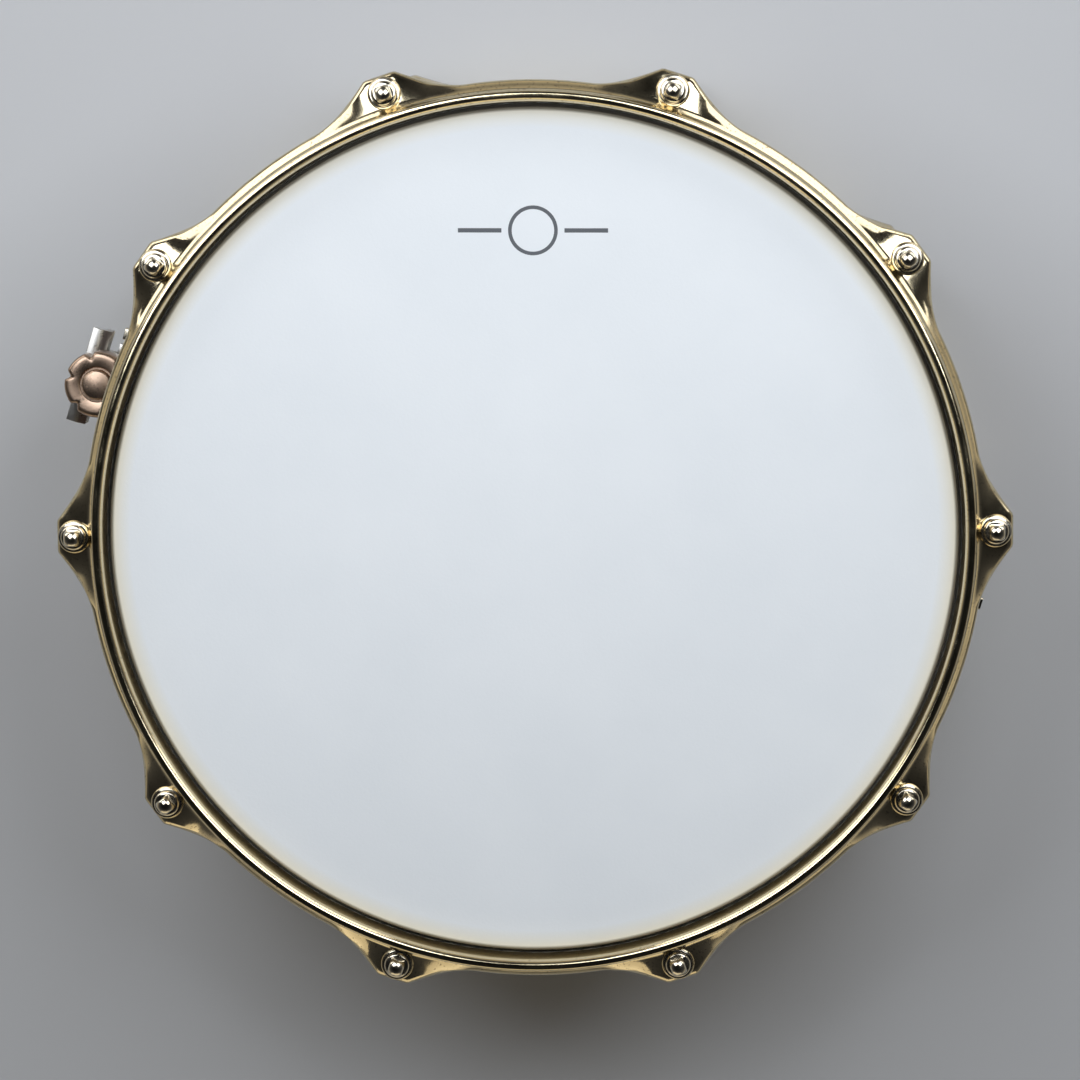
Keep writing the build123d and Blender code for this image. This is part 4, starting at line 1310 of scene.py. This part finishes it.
@dataclass
class ThrowOff:
    """The throw-off: its casting, lever, carriage and clamp, and the lobed knob.

    Attributes:
        knob_r: The knob's radius over its lobes.
        face_drop: How far the lobes' face is under its crown.
        lobes: How many lobes it has.
        notch: How deep the notches between them are.
        notch_half_angle: Half the angle that a notch takes, in degrees.
        notch_from: The radius that the notches start at.
        notch_fade: How far out from there they have their full depth.
    """

    knob_r: float = 14.2 * MM
    face_drop: float = 1.6 * MM
    lobes: int = 6
    notch: float = 2.0 * MM
    notch_half_angle: float = 11.0
    notch_from: float = 9.0 * MM
    notch_fade: float = 3.0 * MM

    def knob_section(self) -> Profile:
        """List the knob's section: a rounded rim, a groove and the crown inside it."""
        low, high = (corner.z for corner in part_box("tension_knob"))
        r, face = self.knob_r, high - self.face_drop
        rim = beside(r, low, (-2.2, 0), (-0.9, 0.3), (0, 1.2), (0, 6.0))
        rim += beside(r, face, (0, -1.9), (-0.2, -1.0), (-0.75, -0.35), (-1.6, -0.05), (-2.6, 0))
        groove = beside(0, face, (8.3, -0.1), (7.6, -0.3), (7.3, -1.1), (6.6, -1.1), (6.3, -0.7))
        crown = beside(0, high, (6.3, -0.7), (6.05, -0.2), (5.4, 0), (0, 0))
        return [(0, low), *rim, *groove, *crown]

    def knob(self) -> Shape:
        """Build the knob: turn its section, then press the notches in between its lobes."""
        bm = turned(self.knob_section(), steps=288, closed=False)
        pitch = math.tau / self.lobes
        for vert in bm.verts:
            radius = math.hypot(vert.co.x, vert.co.y)
            if radius < self.notch_from:
                continue
            off = math.remainder(math.atan2(vert.co.y, vert.co.x), pitch)
            share = min(1.0, abs(off) / math.radians(self.notch_half_angle))
            full = self.notch * smooth((radius - self.notch_from) / self.notch_fade)
            pressed = full * (0.5 + 0.5 * math.cos(math.pi * share))
            vert.co.x *= 1 - pressed / radius
            vert.co.y *= 1 - pressed / radius
        x, y, _ = joint_place("knob_turn")
        return repeated(bm, [Matrix.Translation((x, y, 0))])

    def build(self) -> None:
        """Build every piece of the throw-off."""
        ease_pieces(
            {
                "throw_off_base": (BODY_SATIN, CASTING_EASING),
                "throw_lever": (SLIDE_SATIN, CASTING_EASING),
                "lever_pivot_screws": (SCREW_STEEL, SCREW_EASING),
                "carriage": (SLIDE_SATIN, CASTING_EASING),
                "clamp_block": (SLIDE_SATIN, CASTING_EASING),
                "strap_clamp_plate": (PART_NICKEL, CASTING_EASING),
                "strap_clamp_screws": (SCREW_STEEL, SCREW_EASING),
            }
        )
        knob = "tension_knob"
        publish(self.knob(), knob + "_lobed", SHADED_KNOB_NICKEL, body_of(knob), [knob], sharp=50)
        dress(SCREW_STEEL, "tension_screw", "tension_screw_clip", "knob_wave_washer", "throw_off_screws")
        dress(BLACK_SHEET, "throw_off_gasket")


@dataclass
class Butt:
    """The butt plate, its clamp and the screws of both castings."""

    def build(self) -> None:
        """Build every piece of the butt plate."""
        ease_pieces(
            {
                "butt_body": (BODY_SATIN, CASTING_EASING),
                "butt_clamp_plate": (PART_NICKEL, CASTING_EASING),
                "butt_clamp_screws": (SCREW_STEEL, SCREW_EASING),
            }
        )
        dress(BLACK_SHEET, "butt_gasket")
        dress(SCREW_STEEL, "butt_screws", "mount_screw_washers")


# ---------------------------------------------------------------- snare wires


@dataclass
class SnareWires:
    """Twenty coiled strands, their end plates and the two straps.

    Attributes:
        strand_count: How many strands there are.
        wire_r: The wire's radius.
        wire_sides: How many facets go round the wire.
        coil_pitch: How far one turn of the coil advances, drawn coarser than life.
        turn_steps: How many facets a turn has.
        plate_easing: How much is taken off the end plates' edges.
        slack_keep: How much of its height the throw-off's strap keeps with the snares off. Not used.
        flex_low: The height under which the butt's strap moves with the wires. Not used.
        flex_high: The height over which it stays with its clamp. Not used.
    """

    strand_count: int = 20
    wire_r: float = 0.24 * MM
    wire_sides: int = 3
    coil_pitch: float = 2.0 * MM
    turn_steps: int = 8
    plate_easing: float = 0.2 * MM
    slack_keep: float = 0.86
    flex_low: float = 10 * MM
    flex_high: float = 32 * MM

    def strand(self, low: Vector, high: Vector) -> Shape:
        """Build the coil at y = 0 between the x of two corners.

        Args:
            low: The lowest corner of the strands' box.
            high: The highest corner.

        Returns:
            The coil.
        """
        bm = bmesh.new()
        radius = (high.z - low.z) / 2
        made = bmesh.ops.create_circle(bm, segments=self.wire_sides, radius=self.wire_r, cap_ends=False)
        upright = Matrix.Rotation(math.radians(90), 4, "X")
        spot = Matrix.Translation((low.x + self.wire_r, 0, radius - self.wire_r)) @ upright
        bmesh.ops.transform(bm, matrix=spot, verts=made["verts"])
        length = high.x - low.x - 2 * self.wire_r
        turns = math.floor(length / self.coil_pitch)
        bmesh.ops.spin(
            bm,
            geom=list(bm.verts) + list(bm.edges),
            cent=(0, 0, 0),
            axis=(1, 0, 0),
            dvec=(length / (turns * self.turn_steps), 0, 0),
            angle=math.tau * turns,
            steps=self.turn_steps * turns,
            use_merge=False,
        )
        ends = sorted((e for e in bm.edges if e.is_boundary), key=lambda e: e.verts[0].co.x)
        for loop_edges in (ends[: self.wire_sides], ends[self.wire_sides :]):
            bmesh.ops.contextual_create(bm, geom=loop_edges)
        bmesh.ops.recalc_face_normals(bm, faces=bm.faces)
        return bm

    def coils(self) -> Shape:
        """Build all the strands."""
        low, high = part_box("snare_strands")
        thick, middle = high.z - low.z, (low.z + high.z) / 2
        pitch = (high.y - low.y - thick) / (self.strand_count - 1)
        places = [(0, low.y + thick / 2 + pitch * i, middle) for i in range(self.strand_count)]
        return repeated(self.strand(low, high), [Matrix.Translation(place) for place in places])

    def straps(self) -> None:
        """Build the straps: the throw-off's strap moves with its body on a mesh of its own, and the butt's
        strap is left with no body, its place baked into its mesh.
        """
        slack = "throw_off_strap"
        piece = publish(eased(slack, 0), slack + "_film", STRAP_FILM, body_of(slack), [slack], sharp=30)
        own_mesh(piece)
        bent = "butt_strap"
        piece = publish(eased(bent, 0), bent + "_film", STRAP_FILM, None, [bent], sharp=30)
        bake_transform(piece)

    def build(self) -> None:
        """Build the snare wires."""
        strands = "snare_strands"
        publish(self.coils(), strands + "_coiled", WIRE_STEEL, body_of(strands), [strands], sharp=80)
        plate = (TURNED_BRASS, self.plate_easing)
        ease_pieces({"butt_end_plate": plate, "throw_off_end_plate": plate})
        self.straps()


# ---------------------------------------------------------------- studio

SENSOR = 36.0  # the camera sensor's width in millimetres
DAYLIGHT = "#f2f7ff"
LAMPLIGHT = "#fff0cf"


@dataclass(frozen=True)
class Softbox:
    """A lamp panel.

    Attributes:
        name: Its name.
        angle: The angle about +Z that it stands at, in degrees.
        rise: Its angle above the floor, in degrees.
        distance: How far it is from the drum.
        size: Its width and height.
        power: Its power in watts.
        colour: Its sRGB hex colour.
    """

    name: str
    angle: float
    rise: float
    distance: float
    size: tuple[float, float]
    power: float
    colour: str = "#ffffff"

    def build(self, aim: Vector) -> None:
        """Hang the panel and aim it.

        Args:
            aim: The point that it faces.
        """
        angle, rise = math.radians(self.angle), math.radians(self.rise)
        way = Vector((math.cos(angle) * math.cos(rise), math.sin(angle) * math.cos(rise), math.sin(rise)))
        lamp = bpy.data.lights.new(self.name, "AREA")
        lamp.shape, lamp.size, lamp.size_y = "RECTANGLE", *self.size
        lamp.energy, lamp.color = self.power, linear(self.colour)[:3]
        hung = bpy.data.objects.new(self.name, lamp)
        hung.location = aim + way * self.distance
        hung.rotation_euler = way.to_track_quat("Z", "Y").to_euler()
        hung.visible_camera = False
        bpy.context.scene.collection.objects.link(hung)


@dataclass
class Studio:
    """The pale floor, the soft lamps and the camera over the batter head.

    Attributes:
        layout: The shared places.
        roll: How far the camera is turned about its own axis, in degrees.
        tilt: How far it stands off the drum's axis, in degrees.
        tilt_towards: The angle about +Z that it stands towards, in degrees.
        distance: How far it is from the middle of the batter rim.
        lens: Its focal length in millimetres.
        aside: How far it stands to the right and upwards in its own view.
        floor_size: How wide the floor is.
        floor_gap: How far it is under the drum.
        room_light: How bright the room is.
    """

    layout: Layout
    roll: float = 17.52
    tilt: float = 6.9
    tilt_towards: float = 92.0
    distance: float = 1.5
    lens: float = 121.0
    aside: tuple[float, float] = (3.3 * MM, -1.2 * MM)
    floor_size: float = 16.0
    floor_gap: float = 0.2 * MM
    room_light: float = 0.85

    def camera(self) -> None:
        """Stand the camera off the drum's axis, looking down at the batter head."""
        towards = math.radians(self.tilt_towards)
        turn = Matrix.Rotation(towards, 4, "Z") @ Matrix.Rotation(math.radians(self.tilt), 4, "Y")
        turn = turn @ Matrix.Rotation(math.radians(self.roll) - towards, 4, "Z")
        spot = Vector((0, 0, self.layout.top)) + turn @ Vector((*self.aside, self.distance))
        lens = bpy.data.cameras.new("camera")
        lens.lens, lens.sensor_width = self.lens, SENSOR
        lens.clip_start, lens.clip_end = 0.05, 50.0
        stood = bpy.data.objects.new("camera", lens)
        stood.location = spot
        stood.rotation_euler = turn.to_euler()
        bpy.context.scene.collection.objects.link(stood)
        bpy.context.scene.camera = stood

    def floor(self) -> None:
        """Lay the floor just under the rim."""
        bm = bmesh.new()
        bmesh.ops.create_grid(bm, x_segments=1, y_segments=1, size=self.floor_size / 2)
        bmesh.ops.translate(bm, vec=(0, 0, -self.floor_gap), verts=bm.verts)
        mesh = bpy.data.meshes.new("floor")
        bm.to_mesh(mesh)
        bm.free()
        mesh.materials.append(FLOOR_GREY.material())
        floor = bpy.data.objects.new("floor", mesh)
        bpy.context.scene.collection.objects.link(floor)

    def lamps(self) -> None:
        """Hang the softboxes round the drum and leave the ceiling over it dark."""
        aim = Vector((0, 0, self.layout.top))
        for box in (
            Softbox("left key", 150, 56, 0.85, (0.5, 0.5), 3.6, DAYLIGHT),
            Softbox("right key", 66, 56, 0.85, (0.5, 0.5), 3.9, DAYLIGHT),
            Softbox("left edge", 152, 13, 1.1, (0.9, 0.5), 2.9),
            Softbox("right edge", 64, 13, 1.1, (0.9, 0.5), 2.9),
            Softbox("low warm", 280, 16, 1.5, (1.6, 0.6), 2.2, LAMPLIGHT),
        ):
            box.build(aim)

    def world(self) -> None:
        """Shade the room from a warm horizon to a dark ceiling, and show plain sRGB."""
        room = bpy.data.worlds.new("room")
        room.use_nodes = True
        tree = room.node_tree
        way = add_node(tree, "TexCoord").outputs["Generated"]
        height = add_node(tree, "SeparateXYZ", {}, {0: way}).outputs[2]
        stops = add_node(tree, "ValToRGB", {}, {0: height})
        fill_ramp(stops, [(0.0, "#e0d7c2"), (0.14, "#b3aea3"), (0.35, "#515153"), (0.85, "#191a1b")])
        background = tree.nodes["Background"]
        tree.links.new(stops.outputs[0], background.inputs["Color"])
        background.inputs["Strength"].default_value = self.room_light
        bpy.context.scene.world = room
        bpy.context.scene.view_settings.view_transform = "Standard"

    def build(self) -> None:
        """Set up the whole studio."""
        self.camera()
        self.floor()
        self.lamps()
        self.world()


def main() -> None:
    """Build the drum's sub-assemblies and the studio, in order."""
    logging.basicConfig(level=logging.INFO, format="%(message)s")
    layout = Layout.read()
    sub_assemblies = (
        Hoops(layout),
        Heads(),
        Shell(layout),
        TensionRods(layout),
        Lugs(layout),
        ThrowOff(),
        Butt(),
        SnareWires(),
        Studio(layout),
    )
    for sub_assembly in sub_assemblies:
        sub_assembly.build()
        log.info("built %s", type(sub_assembly).__name__)


if __name__ == "__main__":
    main()
